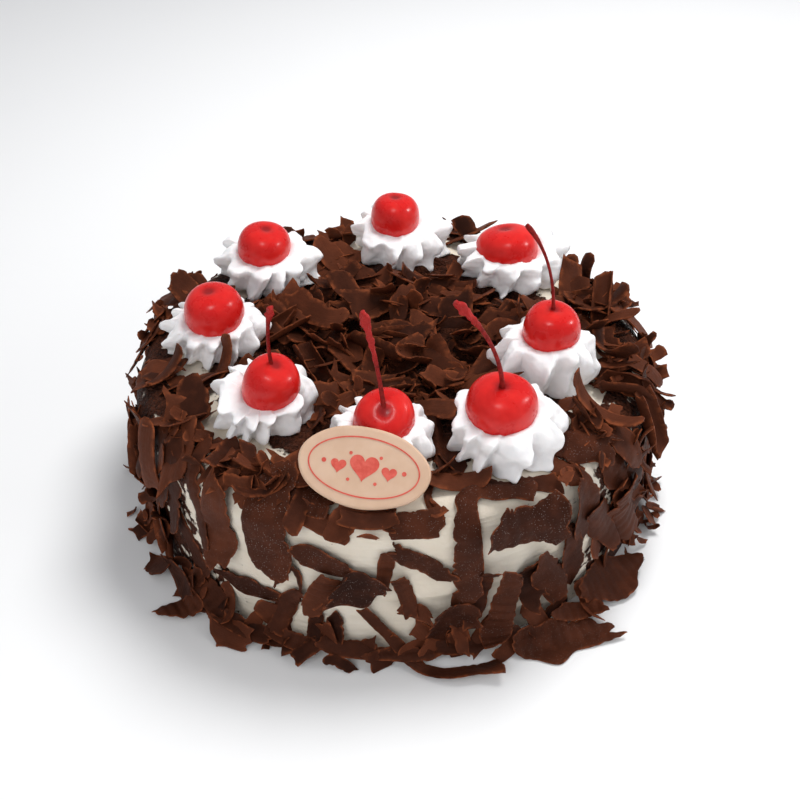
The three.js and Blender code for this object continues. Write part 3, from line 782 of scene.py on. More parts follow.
def laySheet(pile, spec, draw, pitch):
    look = shavingLook
    arch = between(look["arch"], draw())
    if "bend" not in spec:
        spec = {**spec, "bend": look["bend"] * (2 * draw() - 1)}
    if "across" not in spec and isBetween(spec["run"], look["sideRun"]):
        more = look["standOff"] * (0.2 + draw()) * (1 if draw() > 0.3 else -0.9)
        spec = {**spec, "curl": spec.get("curl", 0) + more * min(1, 26 / spec["length"])}
    x, y = tornSheet(spec, draw, pitch)
    px, py, pz = bendSheet(spec, x, y)
    if not spec.get("across"):
        pz = pz + archOf(y, spec["width"], arch)
    rows, columns = x.shape
    ripple = look["ripple"]
    ruffle = (softLine(draw, rows, max(2, round(spec["length"] / 6)), ripple)[:, None]
              + softLine(draw, columns, 3, ripple)[None, :])
    # scraped ridges across the sheet, and corners that peel away from the cake
    crimp = look["crimp"] * draw() * np.sin(
        x * (1.2 + 0.7 * draw()) + 0.3 * y * draw() + 6 * draw())
    u, v = 2 * x / spec["length"], 2 * y / spec["width"]
    for _ in range(2):
        endways, sideways = (1 if draw() > 0.5 else -1), 1.6 * draw() - 0.8
        reach = np.clip((endways * u + sideways * v - 0.25) / 1.3, 0, 1)
        pz = pz + look["peel"] * (0.15 + draw()) * reach ** 1.7 * min(1, spec["width"] / 9)
    points = duckUnder(layOnCake(spec, px, py, pz + settle(spec) + look["bed"] + ruffle + crimp))
    points[..., 2] = np.maximum(points[..., 2], look["above"] + 0.2 * ruffle)
    anyTone = draw()
    addSheet(pile, points, x, y, spec.get("tone", anyTone), spec.get("dew", 0))


def duckUnder(points):
    # a sheet that reaches a rosette or the plaque slips in under its skirt
    for topping in toppings:
        stand = standsAt(topping)
        far = np.hypot(points[..., 0] - stand.x, points[..., 1] - stand.y)
        limit = cakeShape["height"] + 0.2 + 1.6 * np.maximum(0, far - topping["width"] / 2 + 0.5)
        points[..., 2] = np.minimum(points[..., 2], limit)
    return behindPlaque(points, shavingLook["plaqueGap"])


def behindPlaque(points, gap):
    # moves back whatever would come through the plaque
    lean, turn = (math.radians(plaqueShape[k]) for k in ("lean", "turn"))
    ahead = np.array([0, -math.sin(lean), math.cos(lean)])
    up = np.array([0, math.cos(lean), math.sin(lean)])
    step = points - np.array(plaqueShape["centre"])
    aside, along = step[..., 0], step @ up
    aside, along = (aside * math.cos(turn) + along * math.sin(turn),
                    along * math.cos(turn) - aside * math.sin(turn))
    within = (aside / (plaqueShape["width"] / 2 + 1)) ** 2 + (
        along / (plaqueShape["height"] / 2 + 1)) ** 2 < 1
    out = step @ ahead
    behind = plaqueShape["thickness"] / 2 + gap
    push = np.where(within & (out > -behind) & (out < 6), -behind - out, 0)
    return points + push[..., None] * ahead


def makeLargeShavings(chocolate):
    inside = solidTest("cake")
    laid, banded = startPile(), startPile()
    draw = dice(5)
    for spec in frontShavings + frontSlivers:
        laySheet(laid, spec, draw, shavingLook["handStep"])
    kept = 0
    for band in shavingBands:
        for spec in bandShavings(band):
            if keptInCad(spec, inside):
                kept += 1
                laySheet(banded, spec, draw, shavingLook["bandStep"])
    print("large shavings:", len(frontShavings), "by hand,", kept, "in bands")
    return [meshFromPile("shavingsByHand", laid, chocolate),
            meshFromPile("shavingsInBands", banded, chocolate)]


# Loose small shavings, set out by a node tree, each a copy of one of a few shapes.
def flake(length, width, curl, **more):
    return {"length": length, "width": width, "curl": curl, **more}


shavingKinds = [
    flake(15, 8, 20, torn=2.2, wave=0.25),
    flake(13, 9, 34, torn=2.4, wave=0.3, roll=6),
    flake(18, 6, 70, torn=1.2),
    flake(16, 7, -40, torn=1.8, wave=0.2),
    flake(20, 5, 120, torn=1.2),
    flake(11, 8, 12, point=0.8, wave=0.25),
    flake(14, 5, 160, torn=1),
    flake(17, 9, 8, bend=30, wave=0.2),
    flake(12, 6, 30, point=0.9),
    flake(16, 10, 10, across=200, wind=0.3),
    flake(10, 7, 50, torn=2.4, wave=0.3),
    flake(19, 7, 40, bend=60, torn=1.6),
]
shardKinds = [
    flake(6, 3, 20, point=0.8),
    flake(5, 3.4, 30),
    flake(7, 2, 60, point=0.5),
    flake(4, 3, 10, point=0.6),
    flake(8, 2.6, 80),
]
# disc spreads them evenly over the top, and hang turns most of them down the side
scatterPlans = {
    "shavingsOnTop": {"seed": 101, "count": 230, "kinds": "shaving", "run": (0, 86), "disc": True,
                      "angle": (0, 360), "size": (0.85, 1.75), "rise": (0.4, 6.5), "lean": 42},
    "shavingsOnSide": {"seed": 202, "count": 190, "kinds": "shaving", "run": (84, 142), "hang": 42,
                       "angle": (-42, 222), "size": (0.95, 1.7), "rise": (0.2, 1.9), "lean": 11},
    "shavingsOnShoulder": {"seed": 505, "count": 40, "kinds": "shaving", "run": (78, 93),
                           "angle": (-152, -30), "size": (0.6, 1.15), "rise": (0.4, 3.2), "lean": 30},
    "shavingsAtFoot": {"seed": 303, "count": 150, "kinds": "shaving", "run": (140, 153),
                       "angle": (-180, 180), "size": (0.55, 1.1), "rise": (0.4, 3.4), "lean": 26},
    "shards": {"seed": 404, "count": 600, "kinds": "shard", "run": (0, 156),
               "angle": (-180, 180), "size": (0.5, 1.2), "rise": (0.1, 2.6), "lean": 30},
}
# no loose shaving covers the bare cream, few cover the shavings listed one by one at the front, and what
# lies at the foot stays low and close
bareCream = {"run": (78, 112), "angle": (-84, -64)}
thinnedFront = {"angle": (-146, -38), "run": 97, "footRun": 141, "sideShare": 0.06, "footShare": 0.42}
footScatter = {"rise": 1.2, "reach": 100}


def recall(tree, label, kind="FLOAT"):
    return put(tree, "GeometryNodeInputNamedAttribute", {"Name": label}, data_type=kind).outputs["Attribute"]


def makeScatterTree():
    tree, given, result = startGroup("scatterShavings", "GeometryNodeTree", {
        "Geometry": "Geometry", "Kinds": "Collection", "Size": 1.0, "Chocolate": "Material"},
        {"Shavings": "Geometry"})
    tree.is_modifier = True
    kinds = add("GeometryNodeCollectionInfo", {
        "Collection": given["Kinds"], "Separate Children": True, "Reset Children": True})[0]
    rotation = add("FunctionNodeEulerToRotation", {"Euler": recall(tree, "turn", "FLOAT_VECTOR")})[0]
    scattered = add("GeometryNodeInstanceOnPoints", {
        "Points": given["Geometry"], "Instance": kinds, "Pick Instance": True,
        "Instance Index": recall(tree, "kind", "INT"), "Rotation": rotation,
        "Scale": times(recall(tree, "size"), given["Size"])})[0]
    real = add("GeometryNodeRealizeInstances", {"Geometry": scattered})[0]
    painted = add("GeometryNodeSetMaterial", {"Geometry": real, "Material": given["Chocolate"]})[0]
    plug(result, {"Shavings": painted})
    return tree


def bakeNodes(name, start, tree, values):
    # runs a node tree on a mesh and keeps the outcome as a plain mesh
    holder = addObject(name + "Source", start)
    modifier = holder.modifiers.new("nodes", "NODES")
    modifier.node_group = tree
    for item in tree.interface.items_tree:
        if item.item_type == "SOCKET" and item.in_out == "INPUT" and item.name in values:
            modifier[item.identifier] = values[item.name]
    bpy.context.view_layer.update()
    evaluated = holder.evaluated_get(bpy.context.evaluated_depsgraph_get())
    mesh = bpy.data.meshes.new_from_object(evaluated)
    mesh.name = name
    bpy.data.objects.remove(holder)
    return addObject(name, mesh)


def movePoints(mesh, change):
    # passes a mesh's points, as rows in mm, through a function
    points = np.empty(len(mesh.vertices) * 3, np.float32)
    mesh.vertices.foreach_get("co", points)
    mesh.vertices.foreach_set("co", (change(points.reshape(-1, 3) / mm) * mm).ravel())


def makeKinds(label, specs, chocolate):
    collection = bpy.data.collections.new(label)
    draw = dice(77)
    for number, spec in enumerate(specs):
        x, y = tornSheet(spec, draw, shavingLook["looseStep"])
        px, py, pz = bendSheet(spec, x, y)
        rows, columns = x.shape
        ruffle = softLine(draw, rows, 3, 0.2)[:, None] + softLine(draw, columns, 3, 0.2)[None, :]
        pile = startPile()
        addSheet(pile, np.stack([px, py, pz - pz.min() + ruffle], -1), x, y)
        piece = meshFromPile(f"{label}{number:02d}", pile, chocolate)
        piece.data.attributes.remove(piece.data.attributes["tone"])  # each copy gets its own
        bpy.context.scene.collection.objects.unlink(piece)
        collection.objects.link(piece)
    return collection


def clearOfToppings(x, y, margin):
    for topping in toppings:
        stand = standsAt(topping)
        if math.hypot(x - stand.x, y - stand.y) < topping["width"] / 2 + margin:
            return False
    px, py, _ = plaqueShape["centre"]
    return not (abs(x - px) < 21 and -13 < y - py < 12)


def scatterPoints(plan, kindCount):
    draw = dice(plan["seed"])
    rows, turns, sizes, picks, tones = [], [], [], [], []
    while len(rows) < plan["count"]:
        share = draw()
        run = plan["run"][1] * math.sqrt(share) if plan.get("disc") else between(plan["run"], share)
        angle = between(plan["angle"], draw())
        size = between(plan["size"], draw())
        rise = between(plan["rise"], draw() ** 1.6)
        spin, leanX, leanY = draw() * 360, draw() * 2 - 1, draw() * 2 - 1
        if "hang" in plan:
            spin = plan["hang"] * (spin % 180 / 90 - 1) + (180 if spin > 180 else 0)
        pick, tone = int(draw() * kindCount) % kindCount, draw()
        if (plan["kinds"] == "shaving" and isBetween(run, bareCream["run"])
                and isBetween(angle, bareCream["angle"])):
            continue
        if isBetween((angle + 180) % 360 - 180, thinnedFront["angle"]) and run > thinnedFront["run"]:
            upper = run < thinnedFront["footRun"]
            if draw() > thinnedFront["sideShare" if upper else "footShare"]:
                continue
        radius, height, tilt = (float(v) for v in surfaceAt(np.float64(run)))
        toward = Vector((math.cos(math.radians(angle)), math.sin(math.radians(angle)), 0))
        x, y, _ = toward * radius
        if run < 92 and not clearOfToppings(x, y, size * 2):
            continue
        if run > footStart:
            rise = min(rise, footScatter["rise"])
            if max(x, y) > footScatter["reach"]:
                continue
        normal = toward * math.sin(tilt) + Vector((0, 0, math.cos(tilt)))
        down = toward * math.cos(tilt) - Vector((0, 0, math.sin(tilt)))
        base = Matrix((down, normal.cross(down), normal)).transposed()
        lean = Euler([math.radians(turn) for turn in (
            plan["lean"] * leanX, plan["lean"] * leanY, spin)]).to_matrix()
        rows.append(((Vector((x, y, height)) + normal * rise) * mm)[:])
        turns.append((base @ lean).to_euler()[:])
        sizes.append(size)
        picks.append(pick)
        tones.append(tone)
    mesh = bpy.data.meshes.new("scatterPoints")
    mesh.from_pydata(rows, [], [])
    storeOnPoints(mesh, "turn", turns, "FLOAT_VECTOR")
    storeOnPoints(mesh, "size", sizes)
    storeOnPoints(mesh, "tone", tones)
    storeOnPoints(mesh, "kind", picks, "INT")
    return mesh


def aboveTable(points):
    # what would sink into the table is squeezed into a thin layer on it
    points[:, 2] = np.maximum(points[:, 2], shavingLook["above"] + 0.1 * np.clip(points[:, 2], -4, 0))
    return points


def makeScatteredShavings(chocolate):
    tree = makeScatterTree()
    kinds = {"shaving": makeKinds("shavingKind", shavingKinds, chocolate),
             "shard": makeKinds("shardKind", shardKinds, chocolate)}
    pieces = []
    for name, plan in scatterPlans.items():
        collection = kinds[plan["kinds"]]
        points = scatterPoints(plan, len(collection.objects))
        piece = bakeNodes(name, points, tree, {"Kinds": collection, "Chocolate": chocolate})
        movePoints(piece.data, aboveTable)
        piece.data.set_sharp_from_angle(angle=math.radians(shavingLook["sharpAngle"]))
        print(name, len(piece.data.polygons), "faces")
        pieces.append(piece)
    for collection in kinds.values():
        for kind in list(collection.objects):
            bpy.data.objects.remove(kind)
        bpy.data.collections.remove(collection)
    return pieces


# The toppings, going round from the back: where each rosette stands, its size, and its cherry.
# squash is a cherry's height over its width, sit how far its middle is above the cake's top, aside
# its shift off the rosette's middle, and lean its tip towards +X and +Y. dip is how much lower the
# cream is in front of it. fray is where a stem turns ragged.
toppings = [
    {"angle": 87, "reach": 68, "width": 43, "rise": 15, "lobes": 8,
     "cherry": 20, "squash": 0.97, "sit": 17, "aside": (-2, 0), "lean": (0, 6), "dip": 2},
    {"angle": 46, "reach": 71, "width": 46, "rise": 13, "lobes": 9,
     "cherry": 25.4, "squash": 0.74, "sit": 11.4, "aside": (-3, 0), "lean": (-8, 12), "dip": 1.5},
    {"angle": -20.2, "reach": 57.5, "width": 38, "rise": 18, "lobes": 8,
     "cherry": 20.8, "squash": 0.95, "sit": 20.2, "aside": (1.6, 0.6), "lean": (4, 0),
     "stem": {"tip": (-10.8, 4, 34), "bow": (5.5, 0, 5), "girth": 1.5, "fray": 1.1}},
    {"angle": -58.5, "reach": 69, "width": 42, "rise": 16.5, "lobes": 8,
     "cherry": 24.6, "squash": 0.84, "sit": 16.4, "aside": (-0.8, 0.6), "lean": (0, -2), "dip": 2,
     "stem": {"tip": (-16, -2, 36), "bow": (8, 0, 1), "girth": 1.9, "fray": 0.7}},
    {"angle": -95.2, "reach": 62, "width": 38, "rise": 13.5, "lobes": 9,
     "cherry": 21, "squash": 0.95, "sit": 14, "aside": (2.4, 1.2), "lean": (0, -34),
     "stem": {"tip": (-6.2, 3, 38), "bow": (1.5, 0, 0), "girth": 1.9, "fray": 0.5}},
    {"angle": -138, "reach": 62, "width": 38, "rise": 15, "lobes": 9,
     "cherry": 20.4, "squash": 1.04, "sit": 14.2, "aside": (3.8, 0.7), "lean": (14, -6), "dip": 5,
     "stem": {"tip": (1, 0, 26.5), "bow": (-3, 0, 0), "girth": 1.7, "fray": 0.76}},
    {"angle": 177, "reach": 67, "width": 39, "rise": 13.5, "lobes": 10,
     "cherry": 22.6, "squash": 0.92, "sit": 14.8, "aside": (0.6, 0), "lean": (-6, 0), "dip": 2.5},
    {"angle": 135, "reach": 70, "width": 43, "rise": 14, "lobes": 8,
     "cherry": 21.6, "squash": 0.84, "sit": 15.2, "aside": (-1.2, 0), "lean": (8, 0), "dip": 1.5},
]


def standsAt(topping):
    a = math.radians(topping["angle"])
    return Vector((topping["reach"] * math.cos(a), topping["reach"] * math.sin(a), cakeShape["height"]))


def fruitAt(topping):
    return standsAt(topping) + Vector((*topping["aside"], topping["sit"]))


def leanOf(topping):
    lean = topping["lean"]
    return Euler((math.radians(-lean[1]), math.radians(lean[0]), 0)).to_matrix()


rosetteLook = {"rows": 60, "sidesPerLobe": 15, "groove": 0.22, "twist": 24, "uneven": 1.4,
               "ruffle": 0.75, "crestRise": 0.04, "crestLean": 0.2, "bulge": 1.2, "toe": 1.4,
               "crease": 0.05, "sharpness": 1.45, "bluntness": 1.9, "bluntFrom": 0.52, "bluntTo": 0.62,
               "slim": 0.94, "extraRise": 0.5, "extraLobes": 2, "bowl": 0.95, "lining": 0.9,
               "lift": 0.1, "sunk": 0.6, "plaqueGap": 0.15,
               "outline": [(0, 0.8), (0.05, 0.9), (0.12, 0.95), (0.24, 0.97), (0.38, 0.99),
                           (0.5, 1.0), (0.6, 0.97), (0.7, 0.88), (0.79, 0.75), (0.88, 0.58),
                           (1, 0.3)],
               "heights": [(0, 0), (0.12, 0.08), (0.3, 0.3), (0.46, 0.54), (0.6, 0.78),
                           (0.72, 0.94), (0.82, 1.0), (1, 0.98)],
               "turning": [(0, 0), (0.24, 0.24), (0.5, 0.55), (0.7, 0.78), (1, 1)]}


def curveShape(value, points):
    tree = value.id_data
    node = put(tree, "ShaderNodeFloatCurve", {"Value": value})
    curve = node.mapping.curves[0]
    curve.points[0].location = points[0]
    curve.points[1].location = points[-1]
    for point in points[1:-1]:
        curve.points.new(*point)
    node.mapping.update()
    return node.outputs[0]


def remember(geometry, name, value):
    return add("GeometryNodeStoreNamedAttribute", {"Geometry": geometry, "Name": name, "Value": value},
               data_type="FLOAT", domain="POINT")[0]


def moved(geometry, sockets):
    return add("GeometryNodeSetPosition", {"Geometry": geometry, **sockets})[0]


def flatWay(vector):
    # the level direction that a vector points in
    return vectors("NORMALIZE", vectors("MULTIPLY", vector, (1, 1, 0)))


def makeNozzle(tree, given, here):
    # the nozzle's outline: ridges of uneven width with sharp grooves between
    look = rosetteLook
    lobes, seed = given["Lobes"], given["Seed"]
    ring = put(tree, "GeometryNodeCurvePrimitiveCircle", {
        "Resolution": times(lobes, float(look["sidesPerLobe"])), "Radius": 1.0}).outputs[0]
    about = put(tree, "GeometryNodeSplineParameter").outputs["Factor"]
    swing = sums("SINE", timesPlus(about, 2 * fullTurn, times(seed, 9.0)))
    sway = sums("SINE", timesPlus(about, 3 * fullTurn, times(seed, 17.0)))
    lobe = times(timesPlus(swing, 0.020, timesPlus(sway, 0.014, about)), lobes)
    which = sums("FLOORED_MODULO", sums("FLOOR", lobe), lobes)
    own = add("ShaderNodeTexNoise", {"W": timesPlus(which, 3.7, seed), "Scale": 1.0},
              noise_dimensions="1D")["Fac"]
    # some ridges are blunt and most are sharp, and each has a few creases
    share = sums("POWER", sums("FRACT", lobe), 1.2)
    climb = minus(1.0, sums("ABSOLUTE", timesPlus(share, 2.0, -1.0)))
    sharp = sums("POWER", climb, look["sharpness"])
    blunt = minus(1.0, sums("POWER", minus(1.0, climb), look["bluntness"]))
    mostlyBlunt = ramp(own, look["bluntFrom"], look["bluntTo"])
    crest = plus(times(blunt, mostlyBlunt), times(sharp, minus(1.0, mostlyBlunt)))
    crease = times(sums("SINE", timesPlus(share, 5 * math.pi, times(own, 20.0))),
                   times(climb, look["crease"]))
    ridge = timesPlus(minus(crest, 1.0), given["Groove"], timesPlus(times(own, crest), 0.2, 0.91))
    leaning = add("ShaderNodeVectorRotate", {
        "Vector": scaled(here, plus(crease, ridge)),
        "Angle": sums("DIVIDE", times(crest, fullTurn * look["crestLean"]), lobes)},
        rotation_type="Z_AXIS")[0]
    return moved(remember(remember(ring, "own", own), "crest", crest), {
        "Position": leaning, "Offset": combined({"Z": times(minus(crest, 0.4), look["crestRise"])})})


def makeRosetteTree():
    # the nozzle's outline, carried up a short upright path that widens, twists and closes
    look = rosetteLook
    tree, given, result = startGroup("pipedRosette", "GeometryNodeTree", {
        "Geometry": "Geometry", "Width": 0.04, "Rise": 0.013, "Lobes": 8, "Groove": 0.25, "Twist": 0.7,
        "Uneven": 0.001, "Ruffle": 0.0004, "Bulge": 0.001, "Toe": 0.002, "Seed": 0.0, "Dip": 0.0,
        "Fruit": (0, 0, 0.016), "Fruit Size": (0.01, 0.01, 0.01), "Cream": "Material"},
        {"Rosette": "Geometry"})
    tree.is_modifier = True
    fruit, fruitSize = given["Fruit"], given["Fruit Size"]
    line = put(tree, "GeometryNodeCurvePrimitiveLine", {"End": (0, 0, 1)}).outputs[0]
    rows = add("GeometryNodeResampleCurve", {"Curve": line, "Count": look["rows"]})[0]
    up = put(tree, "GeometryNodeSplineParameter").outputs["Factor"]
    path = moved(remember(rows, "up", up), {"Position": combined({"Z": times(up, given["Rise"])})})
    tilted = add("GeometryNodeSetCurveTilt", {
        "Curve": path, "Tilt": times(curveShape(up, look["turning"]), given["Twist"])})[0]
    here = put(tree, "GeometryNodeInputPosition").outputs[0]
    cream = add("GeometryNodeCurveToMesh", {
        "Curve": tilted, "Profile Curve": makeNozzle(tree, given, here), "Fill Caps": True,
        "Scale": times(curveShape(up, look["outline"]), times(given["Width"], 0.5))})[0]
    # its true height, lower in front of the fruit
    outward = flatWay(here)
    up, own, crest = recall(tree, "up"), recall(tree, "own"), recall(tree, "crest")
    front = times(ramp(split(outward)["Y"], 0.2, -0.9), ramp(up, 0.3, 0.85))
    climb = times(minus(curveShape(up, look["heights"]), up), given["Rise"])
    level = combined({"Z": minus(climb, times(front, given["Dip"]))})
    # each ridge swells at its own height, and some end in a drawn-out toe
    wave = sums("SINE", timesPlus(up, 13.0, times(own, 24.0)))
    swell = times(times(wave, given["Bulge"]), times(crest, ramp(up, 0.92, 0.7)))
    filled = times(times(minus(1.0, crest), ramp(up, 0.45, 0.8)),
                   times(times(given["Groove"], 0.4), given["Width"]))
    toe = times(times(sums("POWER", crest, 2.5), ramp(own, 0.62, 0.36)),
                times(ramp(up, 0.26, 0.03), given["Toe"]))
    cream = moved(cream, {"Offset": vectors(
        "ADD", level, scaled(outward, plus(filled, plus(swell, toe))))})
    # soft swellings, and finer ruffles on them
    shifted = vectors("ADD", here, combined({"X": given["Seed"]}))
    for scale, amount in ((85.0, given["Uneven"]), (260.0, given["Ruffle"])):
        cloud = vectors("SUBTRACT", noise(shifted, scale, 1.0, "Color"), (0.5, 0.5, 0.5))
        cream = moved(cream, {"Offset": scaled(cloud, times(amount, 2.0))})
    # the fruit's bowl: under the fruit the cream stays low, and what is inside moves out to its skin
    away = vectors("SUBTRACT", here, fruit)
    beside = lengthOf(vectors("DIVIDE", vectors("MULTIPLY", away, (1, 1, 0)), fruitSize))
    roof = timesPlus(ramp(beside, 0.66, 1.3), 0.012, minus(split(fruit)["Z"], 0.004))
    sides = split(here)
    cream = moved(cream, {"Position": combined({
        "X": sides["X"], "Y": sides["Y"], "Z": sums("MINIMUM", sides["Z"], roof)})})
    distance = lengthOf(vectors("DIVIDE", away, fruitSize))
    stretch = sums("DIVIDE", sums("MAXIMUM", distance, 1.0), sums("MAXIMUM", distance, 0.001))
    pressedOut = vectors("ADD", scaled(away, stretch), fruit)
    # the last rows leave the rim and line the bowl, a little inside the fruit's skin
    dive = timesPlus(ramp(up, 0.92, 1.0), 1.1, 0.3)
    drop = combined({"Z": times(sums("SINE", dive), -1.0)})
    lining = vectors("ADD", fruit, vectors("MULTIPLY", vectors(
        "ADD", scaled(flatWay(away), sums("COSINE", dive)), drop), scaled(fruitSize, look["lining"])))
    inward = ramp(up, 0.885, 0.945)
    cream = moved(cream, {"Position": vectors(
        "ADD", scaled(pressedOut, minus(1.0, inward)), scaled(lining, inward))})
    cream = remember(cream, "juice", ramp(distance, 1.11, 0.99))
    cream = add("GeometryNodeSetShadeSmooth", {"Geometry": cream})[0]
    cream = add("GeometryNodeRealizeInstances", {"Geometry": cream})[0]
    cream = add("GeometryNodeSetMaterial", {"Geometry": cream, "Material": given["Cream"]})[0]
    plug(result, {"Rosette": cream})
    return tree


def clearOfPlaque(points):
    points = behindPlaque(points, rosetteLook["plaqueGap"])
    points[:, 2] = np.maximum(points[:, 2], cakeShape["height"] - rosetteLook["sunk"])
    return points


def makeRosettes(cream):
    tree, look = makeRosetteTree(), rosetteLook
    pieces = []
    for number, topping in enumerate(toppings, 1):
        grow = topping["cherry"] / 2 * look["bowl"]
        sizes = {"Width": topping["width"] * look["slim"], "Rise": topping["rise"] + look["extraRise"],
                 "Uneven": look["uneven"], "Ruffle": look["ruffle"], "Bulge": look["bulge"],
                 "Toe": look["toe"], "Dip": topping.get("dip", 0),
                 "Fruit": Vector((*topping["aside"], topping["sit"])),
                 "Fruit Size": Vector((grow, grow, grow * topping["squash"]))}
        piece = bakeNodes(f"creamRosette{number}", bpy.data.meshes.new("rosetteStart"), tree, {
            **{label: size * mm for label, size in sizes.items()}, "Groove": look["groove"],
            "Lobes": topping["lobes"] + look["extraLobes"], "Twist": math.radians(look["twist"]),
            "Seed": number * 0.31, "Cream": cream})
        stand = standsAt(topping) + Vector((0, 0, look["lift"]))
        piece.data.transform(Matrix.Translation(stand * mm))
        movePoints(piece.data, clearOfPlaque)
        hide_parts(f"rosette_{number}")
        pieces.append(piece)
    print("rosettes:", len(pieces))
    return pieces


def roundMesh(name, rows, material, label=None, values=None):
    # rows of points from the bottom up, each ring of the same count, with a pole at both ends;
    # values are one for each pole, then one for each point
    mesh = bpy.data.meshes.new(name)
    count = len(rows[0])
    points = [Vector(np.mean(rows[0], axis=0)), Vector(np.mean(rows[-1], axis=0))]
    for row in rows:
        points += [Vector(p) for p in row]
    faces = []
    for i in range(count):
        j = (i + 1) % count
        faces.append((0, 2 + j, 2 + i))
        for r in range(len(rows) - 1):
            low, high = 2 + r * count, 2 + (r + 1) * count
            faces.append((low + i, low + j, high + j, high + i))
        last = 2 + (len(rows) - 1) * count
        faces.append((1, last + i, last + j))
    mesh.from_pydata([p * mm for p in points], [], faces)
    if label:
        storeOnPoints(mesh, label, values)
    mesh.polygons.foreach_set("use_smooth", [True] * len(mesh.polygons))
    mesh.materials.append(material)
    return addObject(name, mesh)


def spread(values, count):
    # one value for each ring, given to both poles and all the ring's points
    return [values[0], values[-1]] + [v for v in values for _ in range(count)]


cherryLook = {"rows": 44, "columns": 60, "dimple": 0.07, "dimpleWidth": 0.2, "bottomDimple": 0.08,
              "egg": 0.02, "fullness": 0.64, "flatTop": 0.04, "uneven": 0.03}


def makeCherry(number, topping, skin):
    look, draw = cherryLook, dice(900 + number)
    phase, lobe, flat = draw() * anyPhase, 0.5 + draw(), draw() * anyPhase
    radius = topping["cherry"] / 2
    half = radius * topping["squash"]
    turn, centre = leanOf(topping), fruitAt(topping)
    rows, values = [], []
    for r in range(look["rows"]):
        polar = math.pi * (r + 0.4) / (look["rows"] - 0.2)
        width = radius * math.sin(polar) ** look["fullness"]
        level = -half * math.cos(polar)
        width *= 1 + look["egg"] * level / half
        level *= 1 - look["flatTop"] * max(0, level / half) ** 2
        near = math.exp(-(width / (radius * look["dimpleWidth"])) ** 2)
        level += (-look["dimple"] if level > 0 else look["bottomDimple"]) * radius * near
        values.append(near if level > 0 else 0.0)
        ring = []
        for c in range(look["columns"]):
            a = fullTurn * c / look["columns"]
            uneven = lobe * math.cos(2 * a + phase) + 0.6 * math.cos(
                3 * a + flat + level * 0.12) + 0.4 * math.cos(a + flat)
            w = width * (1 + look["uneven"] * uneven)
            point = Vector((w * math.cos(a), w * math.sin(a), level * (1 + 0.02 * math.cos(a + phase))))
            ring.append(turn @ point + centre)
        rows.append(ring)
    piece = roundMesh(f"cherry{number}", rows, skin, "deep", spread(values, look["columns"]))
    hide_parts(f"cherry_{number}")
    return piece


stemLook = {"sides": 14, "rows": 70, "rootShare": 0.3, "sunk": 1.5, "frayRun": 0.12,
            "girths": [(0, 2.1), (0.04, 1.3), (0.14, 0.85), (0.45, 0.7), (0.7, 0.78),
                       (0.84, 1.1), (0.95, 1.35), (1, 1.0)]}


def makeStem(number, topping, bark):
    look, stem = stemLook, topping["stem"]
    draw = dice(700 + number)
    centre = fruitAt(topping)
    root = leanOf(topping) @ Vector((0, 0, topping["cherry"] * look["rootShare"]))
    end = root + Vector(stem["tip"])
    middle = root.lerp(end, 0.5) + Vector(stem["bow"])
    start = root - (middle - root).normalized() * look["sunk"]
    ts = np.linspace(0, 1, look["rows"])
    girths = np.interp(ts, *zip(*look["girths"])) * stem["girth"] / 2
    rows, values = [], []
    side = Vector((0, 1, 0.2))
    for t, girth in zip(ts, girths):
        low, high = start.lerp(middle, t), middle.lerp(end, t)
        point, ahead = low.lerp(high, t), (high - low).normalized()
        side = (side - ahead * side.dot(ahead)).normalized()
        other = ahead.cross(side)
        frayed = max(0.0, min(1.0, (t - stem["fray"]) / look["frayRun"]))
        ring = []
        for s in range(look["sides"]):
            a = fullTurn * s / look["sides"]
            lump = 0.3 * math.sin(34 * t + 2 * a + number) + 0.22 * math.sin(57 * t - 3 * a)
            rough = 1 + 0.05 * (draw() - 0.5) + frayed * (lump + 0.3 * draw() ** 2)
            ring.append(centre + point + (side * math.cos(a) + other * math.sin(a)) * girth * rough)
        rows.append(ring)
        values.append(frayed)
    piece = roundMesh(f"cherryStem{number}", rows, bark, "deep", spread(values, look["sides"]))
    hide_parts(f"cherry_{number}")
    return piece


# The cream under the shavings, with knife strokes and a bed of crumbs.
coatLook = {"columns": 420, "sideRows": 90, "topRows": 60, "strokes": 0.9, "strokeCount": 60,
            "swell": 0.8, "bedTo": 76, "bedHeight": 1.6, "sideBed": 0.62}


